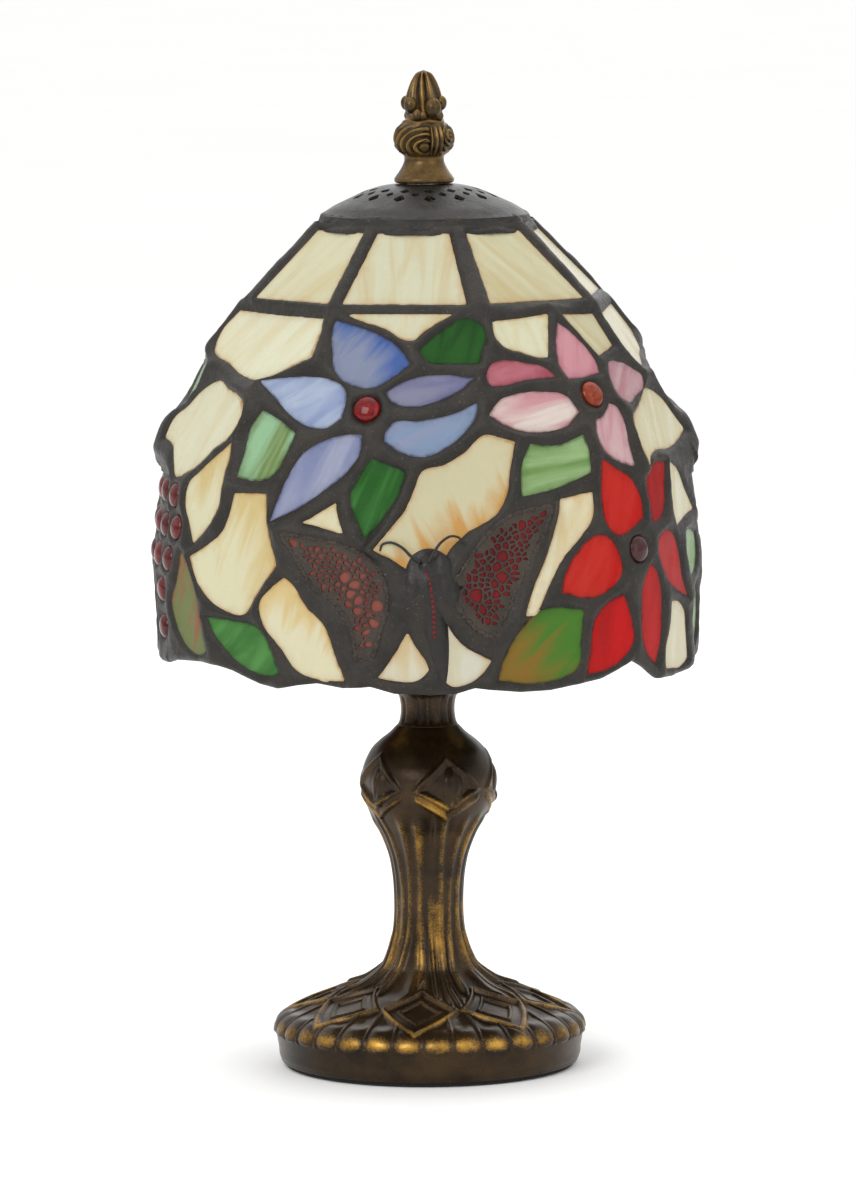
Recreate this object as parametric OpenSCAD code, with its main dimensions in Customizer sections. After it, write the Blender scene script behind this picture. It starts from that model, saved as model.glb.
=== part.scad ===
// Stained glass table lamp: a leaded dome shade on a harp, over a cast metal stem and foot.
// Millimetres, +Z up, front at -Y. The origin is the centre of the felt's underside.
// Places on the shade are given as [azimuth, height]: azimuth 0 is the front, positive to the right.

/* [Shade] */
// Thickness of the flat glass
glass_t = 2.8; // [2:0.1:3.2]
// Thickness of the solder lattice that holds the glass
lattice_t = 4.8; // [4:0.1:5.4]
// Radius of the jewels at the heart of each flower
jewel_r = 5.1; // [4:0.1:5.3]
// Radius of the glass grapes
grape_r = 4.7; // [4:0.1:4.9]
// Thickness of the pierced metal laid over the butterfly's wings
filigree_t = 1.2; // [0.8:0.1:1.6]
// Radius of the antenna wire
antenna_r = 0.8; // [0.5:0.1:1]

/* [Vent cap] */
// Sheet thickness of the pierced cap
cap_t = 1.2; // [0.8:0.1:1.4]
// Outer radius of the ring under the cap
cap_rim_r = 39.8; // [39:0.1:40.4]
// Width of each pierced hole
vent_w = 2.3; // [1.5:0.1:2.6]
// Holes in each ring of the cap
vent_count = 14; // [12:1:15]

/* [Base] */
// Wall of the hollow casting
cast_wall = 3; // [2:0.5:3.5]
// Number of lobes round the foot's edge
lobe_count = 32; // [24:1:36]
// Thickness of the felt under the foot
felt_t = 1.5; // [1:0.1:2]
// Radius of the cord's hole through the rear bush
cord_hole_r = 3.2; // [2.5:0.1:3.5]
// Radius of the threaded pipe up the middle
pipe_r = 4.9; // [4.7:0.1:5]

/* [Harp and socket] */
// Half the distance between the harp's legs
harp_leg_x = 26; // [25.5:0.1:26.5]
// Radius of the harp's wire
harp_wire_r = 1.9; // [1.6:0.1:2]
// Radius of the stud that the shade and the finial sit on
stud_r = 3.1; // [2.9:0.05:3.1]
// Inner radius of the socket's screw shell
screw_shell_r = 13; // [12.9:0.05:13.1]
// Running clearance between parts that turn or slide in one another
running_gap = 0.05; // [0.03:0.01:0.08]

/* [Bulb] */
// Widest radius of the bulb
bulb_r = 30; // [28:0.5:31]

/* [Hidden] */
SIDES = ["front", "back"];
HALF_NODES = [
    "cream_glass_upper", "cream_glass_lower", "blue_petals", "pink_petals", "red_petals", "leaves",
    "streaked_leaf", "flower_jewels", "grapes", "wing_glass", "wing_filigree", "butterfly_body",
];
$fn = 64;

// Middle of the dome's wall, as [height, radius], from the rim up to the band
dome_profile = [
    [153, 100], [162, 100.3], [175, 100.5], [192, 101.5], [205, 100], [226, 97], [242, 95.5],
    [254, 89.6], [262, 85.6], [273, 80], [281, 75.2], [291, 68.6],
];
dome_rim_z = 153.5;
dome_line = [for (p = dome_profile) [p[1], p[0]]];
// The eight flat panels above it: corners as [height, radius], first corner's azimuth, step
band_corner = [[290, 72], [320, 41.2]];
band_turn = -28.5;
band_step = 45;
band_low_z = 290;
band_high_z = 319.6;
// Top and bottom edges of the band's four panels in each half: [left, right] azimuths
band_glass_high_z = 318.4;
band_glass_low_z = 293.4;
band_glass = [
    [[-24.5, 13], [-27, 13.5]], [[20.5, 56.5], [20.5, 60]],
    [[66, 101.5], [64.5, 103]], [[110.5, 149], [110, 148.5]],
];

// Outlines of the glass in one half of the shade; the other half repeats them half a turn on
cream_upper = [
    [[-78, 288.5], [-32, 289], [-31, 284], [-30.5, 274], [-35, 272], [-49, 266], [-56, 267.5],
        [-64, 270.5], [-76, 274], [-79, 280]],
    [[-25, 290], [9, 290.5], [2.5, 286.5], [-0.5, 284], [-3, 281], [-5.5, 281], [-11, 285], [-22, 288.8]],
    [[19.5, 287.5], [30, 288.5], [40, 289], [34.5, 274], [32, 274], [26, 276.5], [21.5, 278.5], [20, 281]],
    [[45, 288.5], [61, 288], [61.5, 276], [59, 275], [52.5, 273], [49, 281]],
    [[66, 287.5], [98, 288.5], [99, 278], [93, 273], [84, 271], [73.5, 267.5], [69.5, 270.5], [66, 276]],
    [[-65, 264.5], [-58.5, 262], [-52, 260], [-47, 255.5], [-46.5, 251], [-49, 245.5], [-56, 240.5],
        [-60, 235.5], [-66, 230.5], [-73, 228], [-76, 232], [-80, 238], [-86.5, 240], [-86, 246],
        [-80, 253], [-75, 259.5], [-70, 263]],
    [[70, 260], [75, 258.5], [80, 254], [83, 248], [86, 242], [80, 239.5], [70.5, 237.5], [62, 237.5],
        [58, 235], [56.5, 232], [55.5, 238], [55, 244], [56, 250], [61, 254], [65.5, 257]],
];
cream_lower = [
    [[-48, 243.5], [-48, 240], [-49, 234], [-50, 227], [-51, 219], [-54, 212], [-59.5, 204.5],
        [-62, 212], [-64.5, 219], [-64, 226.5], [-60, 231.5], [-55, 237]],
    [[-46.5, 225.5], [-36.5, 226], [-36, 216], [-34.5, 208], [-32.5, 200], [-36, 193], [-39, 186],
        [-40.5, 182], [-48, 182], [-52.5, 185.5], [-56, 191], [-59, 200], [-54.5, 204.5], [-49.5, 211],
        [-47.5, 218]],
    [[-31, 196], [-29.5, 194.5], [-26, 186], [-21.5, 178.5], [-19.5, 169], [-17, 158.5], [-22.5, 158.5],
        [-28.5, 161.5], [-32, 169], [-36.5, 179], [-37, 186], [-34, 192]],
    [[-27.5, 216], [-22, 221.5], [-19.5, 224], [-19, 219], [-17.5, 212], [-22, 214]],
    [[13.5, 248], [17, 246.5], [20, 245], [18.5, 235], [17.5, 226], [15.5, 220], [8.5, 212.5],
        [5.5, 208], [2.5, 201.5], [-3.5, 199.5], [-8, 204], [-11.5, 206.5], [-8, 214], [-4.5, 222],
        [-2.5, 230], [-1, 235.5], [4, 238], [8.5, 242.5]],
    [[30, 224], [38.5, 226], [38, 216], [35, 210], [30, 202], [26, 192], [21.5, 182], [20, 182],
        [21.5, 189], [25, 201], [28, 212], [29.5, 219]],
    [[68.5, 233.5], [75, 229], [79, 221], [84, 212.5], [77, 211.5], [68.5, 208.5], [67, 213], [67, 220],
        [67.5, 228]],
    [[63, 182], [68, 180.5], [71, 177], [72.5, 168], [74, 158], [71, 156], [61, 156.5], [60.5, 162],
        [62, 171]],
    [[-93, 186], [-86, 188], [-81, 184], [-79.5, 176], [-79.5, 164], [-84, 162.5], [-93, 162.5]],
    [[-4, 177.5], [-2.5, 172], [-0.5, 167], [0.5, 163], [-1, 160], [-8, 159], [-10.5, 160], [-8, 166]],
    [[4, 180], [7, 173], [13.5, 166], [12, 162], [8.5, 157.5], [4.5, 157], [3, 160.5], [3.5, 171]],
];
blue_outlines = [
    [[-27.5, 288], [-19, 286], [-12, 283], [-7.5, 279.5], [-3.5, 272.5], [-8, 268.5], [-13, 264.5],
        [-15.5, 264.5], [-24, 270], [-26, 277], [-27.5, 283]],
    [[-45.5, 265], [-38, 267.5], [-30, 268.5], [-24.5, 267.5], [-20, 264], [-19.5, 253.5], [-23.5, 250],
        [-28, 250.5], [-34, 254.5], [-39.5, 260]],
    [[-18.5, 248], [-14, 248], [-14.5, 242], [-18, 234], [-22, 228.5], [-29, 220.5], [-35, 215.5],
        [-34, 222], [-32, 231], [-28, 242], [-23.5, 246]],
    [[-10, 262.5], [-7.5, 265.5], [-1.5, 269], [5, 269.5], [12.5, 267.5], [8.5, 263.5], [2, 259.5],
        [-3, 258], [-8, 259.5]],
    [[-8, 252], [-1, 253.5], [6, 255.5], [12.5, 259], [12, 254.5], [9, 249], [5, 244], [-0.5, 240.5],
        [-5.5, 242], [-9.5, 245.5], [-9, 250]],
];
pink_outlines = [
    [[15.5, 266.5], [17, 272.5], [20, 274], [27, 273], [33, 270], [35, 266.5], [26, 266.5], [20, 265],
        [16.5, 264.5]],
    [[14.5, 254.5], [18, 260], [22, 262], [30, 262.5], [36, 260.5], [38.5, 254], [34, 249.5], [28, 248],
        [18, 251]],
    [[42, 286], [44.5, 284], [49, 277], [50.5, 271], [50, 267], [42.5, 266], [38.5, 266], [37, 270],
        [37.5, 276]],
    [[55.5, 270.5], [62, 270.5], [70.5, 264.5], [69, 261], [63, 258], [57.5, 255.5], [54, 258.5],
        [53, 262], [54, 268]],
    [[49, 256.5], [51.5, 255], [52.5, 251], [52, 241], [52, 233], [48.5, 234.5], [43, 240.5], [42, 247],
        [42.5, 251], [45.5, 252.5]],
];
red_outlines = [
    [[42, 238], [46, 234], [51, 229], [53.5, 221], [53.5, 214], [50, 211], [45, 208.5], [41.5, 213.5],
        [40.5, 221], [41, 230]],
    [[39, 210], [41, 209.5], [44.5, 202.5], [45, 195], [42, 190], [37.5, 187], [28.5, 189.5],
        [29.5, 196], [33, 204]],
    [[45.5, 187.5], [47.5, 180], [48.5, 168], [46, 163.5], [41, 159.5], [35, 158.5], [36, 167],
        [37.5, 180], [41.5, 185.5]],
    [[54.5, 197.5], [56.5, 194.5], [58.5, 187], [59, 177], [58.5, 167], [57, 159], [54, 162.5],
        [51.5, 170], [51, 180], [51.5, 191]],
    [[62, 208.5], [65, 207.5], [68, 200], [69, 190], [71.5, 181.5], [67, 184.5], [62, 189], [59.5, 194],
        [57.5, 201], [58, 206]],
    [[66, 233.5], [64.5, 226], [63, 217], [61, 213], [57, 211.5], [56.5, 218], [56, 228], [58, 232],
        [62, 234]],
];
leaf_outlines = [
    [[-2, 277.5], [1.5, 282], [6, 286], [13.5, 289], [16.5, 287], [17.5, 282.5], [15.5, 277],
        [14.5, 272.5], [7, 273], [0.5, 273.5]],
    [[-41.5, 255.5], [-36, 252.5], [-30.5, 248], [-32.5, 240], [-35.5, 232], [-40, 230], [-45.5, 231],
        [-44.5, 240], [-44, 250]],
    [[-12, 240.5], [-8, 238], [-4, 235.5], [-5.5, 228], [-8, 221], [-13, 210.5], [-15, 217],
        [-16.5, 226], [-14.5, 234]],
    [[23.5, 244.5], [30, 243.5], [33.5, 244.5], [37.5, 246.5], [38.5, 241], [38.5, 232.5], [30, 228],
        [20.5, 225], [20.5, 231], [21.5, 239]],
    [[24.5, 184], [29, 184.5], [34.5, 183], [34, 172], [33, 161], [30.5, 158.5], [24, 156.5],
        [14.5, 158.5], [15.5, 165.5], [18.5, 174.5]],
    [[-53, 179], [-45, 178.5], [-38, 176.5], [-32, 160.5], [-34, 159], [-41, 160.5], [-46.5, 165.5],
        [-50.5, 172]],
    [[79, 206], [83, 204], [83, 198], [81, 193], [77, 189.5], [74, 189], [72.5, 194], [71.5, 200],
        [73, 204.5]],
    [[77, 184], [81, 186], [83.5, 180], [83.5, 165], [80, 161], [77.5, 167]],
    [[77, 264], [83, 266.5], [92, 268], [101, 268], [106, 267.5], [104.5, 262], [100, 257],
        [93, 253.5], [86, 253.5], [81, 258]],
];
streaked_outline = [[-64, 202], [-61, 198], [-57.5, 188], [-55, 173], [-53, 165], [-57, 163.5],
    [-63, 166.5], [-67.5, 174.5], [-69, 182], [-66.5, 190]];
wing_outlines = [
    [[-31.5, 211.5], [-24, 210], [-17, 207.5], [-11, 202], [-8.5, 193], [-8.5, 184], [-10, 176],
        [-11, 168.5], [-14.5, 166.5], [-15.5, 177], [-19, 187], [-24, 193], [-28, 203.5]],
    [[16.5, 217], [21.5, 220], [27, 221], [25, 212], [22, 202], [19, 193], [16.5, 184], [14, 174.5],
        [10, 178.5], [6.5, 186], [5, 191], [7.5, 199.5], [10, 206], [13, 212]],
];
jewel_places = [[-14, 257], [44.5, 260], [50.5, 203]];
grape_places = [
    [-71, 221], [-79, 222], [-87, 222], [-67.5, 209.5], [-75, 209.5], [-82.5, 210], [-90, 210],
    [-70.5, 197.5], [-78.5, 198], [-86.5, 198.5], [-74.5, 185.5], [-74.5, 171.5],
];
// Antennae of the butterfly, and the line of its body down the shade
antenna_routes = [
    [[-1, 201], [-3.5, 203], [-5.5, 206.5], [-7.5, 208.5], [-9.3, 208.5], [-10.3, 206.5]],
    [[-1, 201], [0.8, 203.5], [2, 207], [4, 210], [5.7, 210.6], [7, 209.5]],
];
antenna_lift = lattice_t / 2 + 1.2;
body_foot = [0.5, 164];
body_head = [-1, 203];
// Bites out of the rim, which leave its edge uneven
rim_notches = [
    [[-96, 150], [-95, 157.5], [-78, 158], [-72, 159], [-64, 160.5], [-50, 161], [-45, 158.5], [-40, 150]],
    [[-33, 150], [-29, 156], [-26, 157], [-20, 156], [-15, 156.5], [-9, 156.5], [-7, 150]],
    [[7, 150], [9, 155.5], [13, 155.5], [17, 150]],
    [[34, 150], [40, 156], [44, 158.5], [47, 162], [50, 162], [53, 158], [56, 150]],
];

// Vent cap's outer line, [radius, height], from the hole to the ring
cap_outline = [[11, 335.5], [15, 335], [21.7, 333.2], [27, 330.9], [30.2, 329.4], [36, 326.4],
    [38.2, 323.9], [39.8, 323.9]];
cap_rim_low_z = 319.6;
cap_rim_high_z = 323.9;
cap_rim_bore_r = 34;
cap_hole_r = 3.6;
cap_top_z = 335.5;
// Rings of diamond holes, the middle ring half a step on from the others: radii, and first hole's turn
vent_rings = [19.8, 22.8, 25.8];
vent_turn = 17.4;

// Foot, stem and neck: heights up the middle, and the web across the foot that the nut clamps
web_low_z = 24;
web_high_z = 38;
cast_top_z = 130;
neck_r = 10.6;
neck_bore_r = 9.4;
neck_top_z = 143.8;
neck_flare_r = 14.8;
pipe_bore_r = 3.4;
pipe_low_z = 14;
pipe_top_z = 155;
pipe_washer_t = 1.4;
pipe_nut_t = 5;

// Harp: its legs flare out, then follow the belly round to the crown under the stud
saddle_z = 145;
post_top_z = 161;
harp_leg_top_z = 182;
flare_r = 60;
flare_turn = 30;
belly_r = 91;
belly_lean = 50;
crown_r = 12;
disc_low_z = 327.5;
disc_top_z = 332.3;
stud_flange_z = 333.3;
stud_top_z = 343.5;
ferrule_low_z = 150;
ferrule_top_z = 168;

// Socket, switch and bulb
socket_z = 146.6;
socket_cap_r = 17.6;
socket_cap_top_z = 166;
socket_shell_r = 16.9;
socket_liner_r = 16.2;
socket_liner_bore_r = 15.2;
socket_top_z = 204;
core_r = 12.2;
core_low_z = 160;
core_top_z = 176;
terminal_z = 165;
terminal_r = 1.2;
switch_z = 168;
switch_shaft_r = 1.5;
switch_hole_r = 2.4;
contact_z = 178.5;
bulb_cap_z = 184;
bulb_neck_z = 204;
bulb_wall = 1;

// Finial and its threaded insert
insert_r = 4.2;
insert_top_z = 348;
washer_top_z = cap_top_z + 0.5;

// Outer line of the foot, stem and bulb-shaped knop, [radius, height]
cast_outline = [
    [56.5, felt_t], [57.6, 3.5], [58, 7], [58.5, 10], [58.9, 13], [58.5, 16], [55.2, 19.1], [49.3, 22.2],
    [41.3, 25.3], [33.6, 28.4], [25.2, 31.5], [20.8, 34.6], [17.8, 37.6], [16.2, 41], [15.1, 44],
    [14.3, 47], [13.5, 50], [12.9, 56], [12.8, 63], [13.2, 71], [13.7, 75], [14.7, 80], [16, 84],
    [18.5, 90], [21.2, 94.5], [23.8, 99], [25.3, 103], [25.7, 107], [25.5, 112], [24.7, 115],
    [23.4, 118], [21.7, 121], [18.8, 124], [15, 127], [11.6, 130],
];
cavity_r = 53.5;
felt_r = 55;
bush_z = 8.5;
bush_r = 5;
bush_flange_r = 6.4;
bush_inner_y = 52;
bush_flange_y = 59;
bush_outer_y = 60.4;
foot_cavity = [[cavity_r, felt_t], [54.8, 8], [55.3, 13], [53, 16.5], [46, 20], [38, 23], [30, 24]];
stem_cavity = [
    [14, web_high_z], [12, 44], [10, 52], [9.6, 62], [10.3, 73], [13, 84], [18, 96], [22, 103], [22.4, 108],
    [21.5, 114], [17, 121], [10, 124],
];
// Finial's outer line above its flange, [radius, height]
finial_outline = [
    [10.9, washer_top_z], [11.3, 336.6], [11.3, 337.6], [9.6, 340], [8.1, 342.2], [7.5, 344.5], [8.1, 346.7],
    [10.4, 349], [11.3, 351.3], [10.9, 353.5], [10.4, 356], [9, 358.2], [7.2, 360], [6.6, 362.5],
    [6.4, 365], [7.2, 367.5], [6.6, 369.3], [5.8, 371.6], [4.7, 374], [3.2, 376.5], [1, 378.3],
];
finial_top_z = 378.5;
berry_count = 12;
berry_ring_r = 6.2;
berry_z = 363.6;
// Bulb's outer line, [radius, height], from its cap to its crown
bulb_outline = [
    [12.9, bulb_neck_z], [13.6, 209], [16, 216], [20.5, 226], [26, 237], [29, 245], [30, 253], [29.6, 259],
    [28, 266], [24.5, 273], [19.5, 279], [13, 283.5], [6, 286],
];

// ---- Geometry on the shade ----

function total(points) = [for (p = points) 1] * points;
function unit(v) = v / norm(v);
function at(azimuth, radius, z) = [radius * sin(azimuth), -radius * cos(azimuth), z];
function on_dome(p) = at(p[0], lookup(p[1], dome_profile), p[1]);

// A point on the flat panels of the band: the radius grows from a panel's middle to its corner
function on_band(p) =
    let (from_corner = (p[0] - band_turn + 10 * band_step) % band_step,
        from_middle = from_corner - band_step / 2)
    at(p[0], lookup(p[1], band_corner) * cos(band_step / 2) / cos(from_middle), p[1]);

// The plane that best fits a closed outline: [centre, sideways, upwards, outwards]
function plane_of(points) =
    let (n = len(points), centre = total(points) / n,
        area = total([for (i = [0 : n - 1]) cross(points[i] - centre, points[(i + 1) % n] - centre)]),
        outwards = unit(area * sign(area * [centre[0], centre[1], 0])),
        sideways = unit(cross([0, 0, 1], outwards)))
    [centre, sideways, cross(outwards, sideways), outwards];

function in_plane(plane, points) =
    [for (p = points) [(p - plane[0]) * plane[1], (p - plane[0]) * plane[2]]];

module placed(plane) {
    multmatrix([for (row = [0 : 2]) [plane[1][row], plane[2][row], plane[3][row], plane[0][row]]])
        children();
}

// A flat plate with the given outline, thick either side of its plane
module plate(points, thick) {
    plane = plane_of(points);
    placed(plane) linear_extrude(height = thick, center = true) polygon(in_plane(plane, points));
}

module dome_plates(outlines, thick = glass_t) {
    for (outline = outlines) plate([for (p = outline) on_dome(p)], thick);
}

module band_plates(thick) {
    for (half = [0, 180], p = band_glass)
        plate([
            for (q = [[p[1][0], band_glass_low_z], [p[1][1], band_glass_low_z],
                [p[0][1], band_glass_high_z], [p[0][0], band_glass_high_z]]) on_band([q[0] + half, q[1]])
        ], thick);
}

// The frame that stands on the dome at one place
function seat(place) =
    plane_of([for (d = [[-2, 0], [0, -3], [2, 0], [0, 3]]) on_dome(place + d)]);

// The back half of the shade is the front half, turned half a turn
module half_turn(side) {
    rotate(side == "front" ? 0 : 180) children();
}

// Points moved sideways off a line of points, for the two faces of a wall
function beside(line, d) = [
    for (i = [0 : len(line) - 1])
        let (a = line[max(i - 1, 0)], b = line[min(i + 1, len(line) - 1)], along = unit(b - a))
        line[i] + d * [along[1], -along[0]]
];
function reversed(line) = [for (i = [len(line) - 1 : -1 : 0]) line[i]];

// ---- Shade ----

module dome_shell() {
    rotate_extrude($fn = 180)
        polygon(concat(beside(dome_line, lattice_t / 2), reversed(beside(dome_line, -lattice_t / 2))));
}

// An eight-sided cone along the band's panels, moved square to them by a distance
module band_cone(outwards) {
    panel_r = [for (corner = band_corner) corner[1] * cos(band_step / 2)];
    lean = atan((panel_r[0] - panel_r[1]) / (band_corner[1][0] - band_corner[0][0]));
    shift = outwards / cos(lean) / cos(band_step / 2);
    rotate(band_turn - 90)
        translate([0, 0, band_low_z])
            cylinder(r1 = lookup(band_low_z, band_corner) + shift, h = band_high_z - band_low_z,
                r2 = lookup(band_high_z, band_corner) + shift, $fn = 8);
}

module band_shell() {
    difference() {
        band_cone(lattice_t / 2);
        band_cone(-lattice_t / 2);
    }
}

// Round glass with a domed face, part of a ball, on a straight edge
module cabochons(places, radius, depth = glass_t) {
    rise = radius * 0.55;
    ball = (radius * radius + rise * rise) / (2 * rise);
    for (place = places)
        placed(seat(place)) {
            intersection() {
                translate([0, 0, -depth / 2]) cylinder(r = radius, h = depth + rise, $fn = 48);
                translate([0, 0, depth / 2 + rise - ball]) sphere(r = ball);
            }
        }
}

// Everything that opens the lattice: deep enough to pass right through its curved wall
module window_cutters() {
    window_t = 22;
    for (side = SIDES)
        half_turn(side) {
            dome_plates(concat(cream_upper, cream_lower, blue_outlines, pink_outlines), window_t);
            dome_plates(concat(red_outlines, leaf_outlines, [streaked_outline], wing_outlines), window_t);
            dome_plates(rim_notches, window_t);
            for (place = jewel_places)
                placed(seat(place)) cylinder(r = jewel_r, h = window_t, center = true, $fn = 48);
            for (place = grape_places)
                placed(seat(place)) cylinder(r = grape_r, h = window_t, center = true, $fn = 48);
        }
    band_plates(window_t);
}

// The rim is trimmed level before the notches are cut in it
module solder_lattice() {
    color([0.2, 0.2, 0.19])
        difference() {
            union() {
                dome_shell();
                band_shell();
            }
            window_cutters();
            cylinder(r = 120, h = dome_rim_z, $fn = 90);
        }
}

module band_panels() { color([0.87, 0.85, 0.73]) band_plates(glass_t); }
module cream_glass_upper(side) { color([0.87, 0.85, 0.73]) half_turn(side) dome_plates(cream_upper); }
module cream_glass_lower(side) { color([0.86, 0.82, 0.68]) half_turn(side) dome_plates(cream_lower); }
module blue_petals(side) { color([0.55, 0.6, 0.78]) half_turn(side) dome_plates(blue_outlines); }
module pink_petals(side) { color([0.83, 0.62, 0.65]) half_turn(side) dome_plates(pink_outlines); }
module red_petals(side) { color([0.76, 0.1, 0.08]) half_turn(side) dome_plates(red_outlines); }
module leaves(side) { color([0.28, 0.5, 0.25]) half_turn(side) dome_plates(leaf_outlines); }
module streaked_leaf(side) { color([0.45, 0.4, 0.2]) half_turn(side) dome_plates([streaked_outline]); }
module wing_glass(side) { color([0.43, 0.18, 0.16]) half_turn(side) dome_plates(wing_outlines); }
module flower_jewels(side) { color([0.6, 0.02, 0.02]) half_turn(side) cabochons(jewel_places, jewel_r); }
module grapes(side) { color([0.45, 0.1, 0.1]) half_turn(side) cabochons(grape_places, grape_r); }

// Pierced metal over each wing, with rows of holes that fan out from the wing's root
module wing_filigree(side) {
    hole_r = 1.5;
    hole_pitch = 4.6;
    row_pitch = 5.2;
    row_shift = 0.8;
    color([0.25, 0.24, 0.22])
        half_turn(side)
            for (outline = wing_outlines) {
                points = [for (p = outline) on_dome(p)];
                plane = plane_of(points);
                middle = in_plane(plane, [plane[0]])[0];
                placed(plane)
                    translate([0, 0, glass_t / 2])
                        linear_extrude(height = filigree_t)
                            difference() {
                                polygon(in_plane(plane, points));
                                for (row = [-2 : 2], hole = [-1 : 1])
                                    translate(middle + [hole * hole_pitch + row * row_shift, row * row_pitch])
                                        circle(r = hole_r, $fn = 6);
                            }
            }
}

// A round wire swept along points that stay near one XZ plane
module swept_wire(points, radius, sides) {
    last = len(points) - 1;
    steps = [for (i = [0 : last - 1]) unit(points[i + 1] - points[i])];
    rings = [
        for (i = [0 : last])
            let (along = unit(steps[max(i - 1, 0)] + steps[min(i, last - 1)]),
                across = unit(cross(along, [0, 1, 0])), over = cross(across, along))
            for (k = [0 : sides - 1])
                points[i] + radius * (cos(k * 360 / sides) * across + sin(k * 360 / sides) * over)
    ];
    walls = [
        for (i = [0 : last - 1], k = [0 : sides - 1])
            let (a = i * sides + k, b = i * sides + (k + 1) % sides) [a, b, b + sides, a + sides]
    ];
    start = [for (k = [sides - 1 : -1 : 0]) k];
    end = [for (k = [0 : sides - 1]) last * sides + k];
    polyhedron(points = rings, faces = concat([start], walls, [end]), convexity = 6);
}

function above_dome(place, lift) = let (frame = seat(place)) frame[0] + lift * frame[3];

// Body and antennae, cut away where they would sink into the solder or the glass
module butterfly_body(side) {
    foot = above_dome(body_foot, lattice_t / 2);
    head = above_dome(body_head, lattice_t / 2);
    along = head - foot;
    length = norm(along);
    color([0.22, 0.21, 0.2])
        half_turn(side)
            difference() {
                union() {
                    translate(foot)
                        rotate([0, acos(along[2] / length), atan2(along[1], along[0])])
                            rotate_extrude()
                                polygon([[0, 0], [1.6, 1], [2.2, 8], [2.6, 20], [3.4, 25], [3.6, 30],
                                    [2.6, 33], [3, 36], [2.2, length - 1], [0, length]]);
                    for (route = antenna_routes)
                        swept_wire([for (place = route) above_dome(place, antenna_lift)], antenna_r, 8);
                }
                butterfly_seat();
                dome_plates(cream_lower, glass_t + 0.02);
            }
}

// All that lies inside the dome's outer face
module butterfly_seat() {
    outer = beside(dome_line, lattice_t / 2);
    rotate_extrude($fn = 180) polygon(concat([[0, outer[0][1]]], outer, [[0, outer[len(outer) - 1][1]]]));
}

module vent_cap() {
    cutter_h = 12;
    cutter_z = cap_top_z - 4;
    inner = [for (p = reversed(cap_outline)) p - [0, cap_t]];
    color([0.24, 0.23, 0.21])
        difference() {
            rotate_extrude($fn = 120)
                polygon(concat([[cap_hole_r, cap_top_z - cap_t], [cap_hole_r, cap_top_z]], cap_outline,
                    inner));
            for (ring = [0 : len(vent_rings) - 1], i = [0 : vent_count - 1])
                rotate(vent_turn + (i + ring % 2 / 2) * 360 / vent_count)
                    translate([vent_rings[ring], 0, cutter_z])
                        rotate(45) cube([vent_w, vent_w, cutter_h], center = true);
        }
}

module cap_rim() {
    color([0.2, 0.2, 0.19])
        rotate_extrude($fn = 120)
            translate([cap_rim_bore_r, cap_rim_low_z])
                square([cap_rim_r - cap_rim_bore_r, cap_rim_high_z - cap_t - cap_rim_low_z]);
}

// ---- Finial ----

module washer(outer, inner, low, high, sides = 64) {
    translate([0, 0, low])
        difference() {
            cylinder(r = outer, h = high - low, $fn = sides);
            translate([0, 0, -1]) cylinder(r = inner, h = high - low + 2);
        }
}

module finial_washer() { color("silver") washer(7, cap_hole_r, cap_top_z, washer_top_z); }

module finial_insert() {
    color([0.75, 0.6, 0.3]) washer(insert_r, stud_r + running_gap, washer_top_z, insert_top_z);
}

module finial() {
    berry_r = 1.9;
    color([0.43, 0.35, 0.2])
        difference() {
            union() {
                rotate_extrude() polygon(concat([[0, washer_top_z]], finial_outline, [[0, finial_top_z]]));
                for (i = [0 : berry_count - 1])
                    rotate(i * 360 / berry_count)
                        translate([berry_ring_r, 0, berry_z]) sphere(r = berry_r, $fn = 24);
            }
            translate([0, 0, washer_top_z - 1])
                cylinder(r = insert_r + running_gap, h = insert_top_z + 1.3 - washer_top_z);
        }
}

// ---- Base ----

module lamp_body() {
    gap_r = 1.1;
    gap_ring_r = 59.3;
    gap_low_z = 11;
    gap_high_z = 23;
    color([0.24, 0.19, 0.14])
        difference() {
            rotate_extrude($fn = 120)
                polygon(concat([[0, felt_t]], cast_outline, [[0, cast_top_z]]));
            for (i = [0 : lobe_count - 1])
                rotate((i + 0.5) * 360 / lobe_count)
                    translate([gap_ring_r, 0, gap_low_z])
                        cylinder(r = gap_r, h = gap_high_z - gap_low_z, $fn = 24);
            rotate_extrude($fn = 120)
                polygon(concat([[0, 0], [cavity_r, 0]], foot_cavity, [[0, web_low_z]]));
            rotate_extrude() polygon(concat([[0, web_high_z]], stem_cavity, [[0, 124]]));
            cylinder(r = pipe_r, h = cast_top_z + 1);
            along_y(40, bush_z) cylinder(r = bush_r, h = 30);
        }
}

// Turns what stands on the XY plane to point to the rear, from a place on the middle plane
module along_y(y, z) {
    translate([0, y, z]) rotate([-90, 0, 0]) children();
}

module base_felt() { color([0.1, 0.1, 0.1]) cylinder(r = felt_r, h = felt_t, $fn = 120); }

// Rubber bush in the foot's rear wall, where the mains lead comes in
module cord_bush() {
    color([0.1, 0.1, 0.1])
        difference() {
            union() {
                along_y(bush_inner_y, bush_z) cylinder(r = bush_r, h = bush_outer_y - bush_inner_y);
                along_y(bush_flange_y, bush_z)
                    cylinder(r = bush_flange_r, h = bush_outer_y - bush_flange_y);
            }
            along_y(bush_inner_y - 1, bush_z) cylinder(r = cord_hole_r, h = 12);
        }
}

module center_pipe() { color([0.7, 0.7, 0.68]) washer(pipe_r, pipe_bore_r, pipe_low_z, pipe_top_z); }
module neck_tube() { color([0.2, 0.17, 0.14]) washer(neck_r, neck_bore_r, cast_top_z, neck_top_z); }

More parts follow.
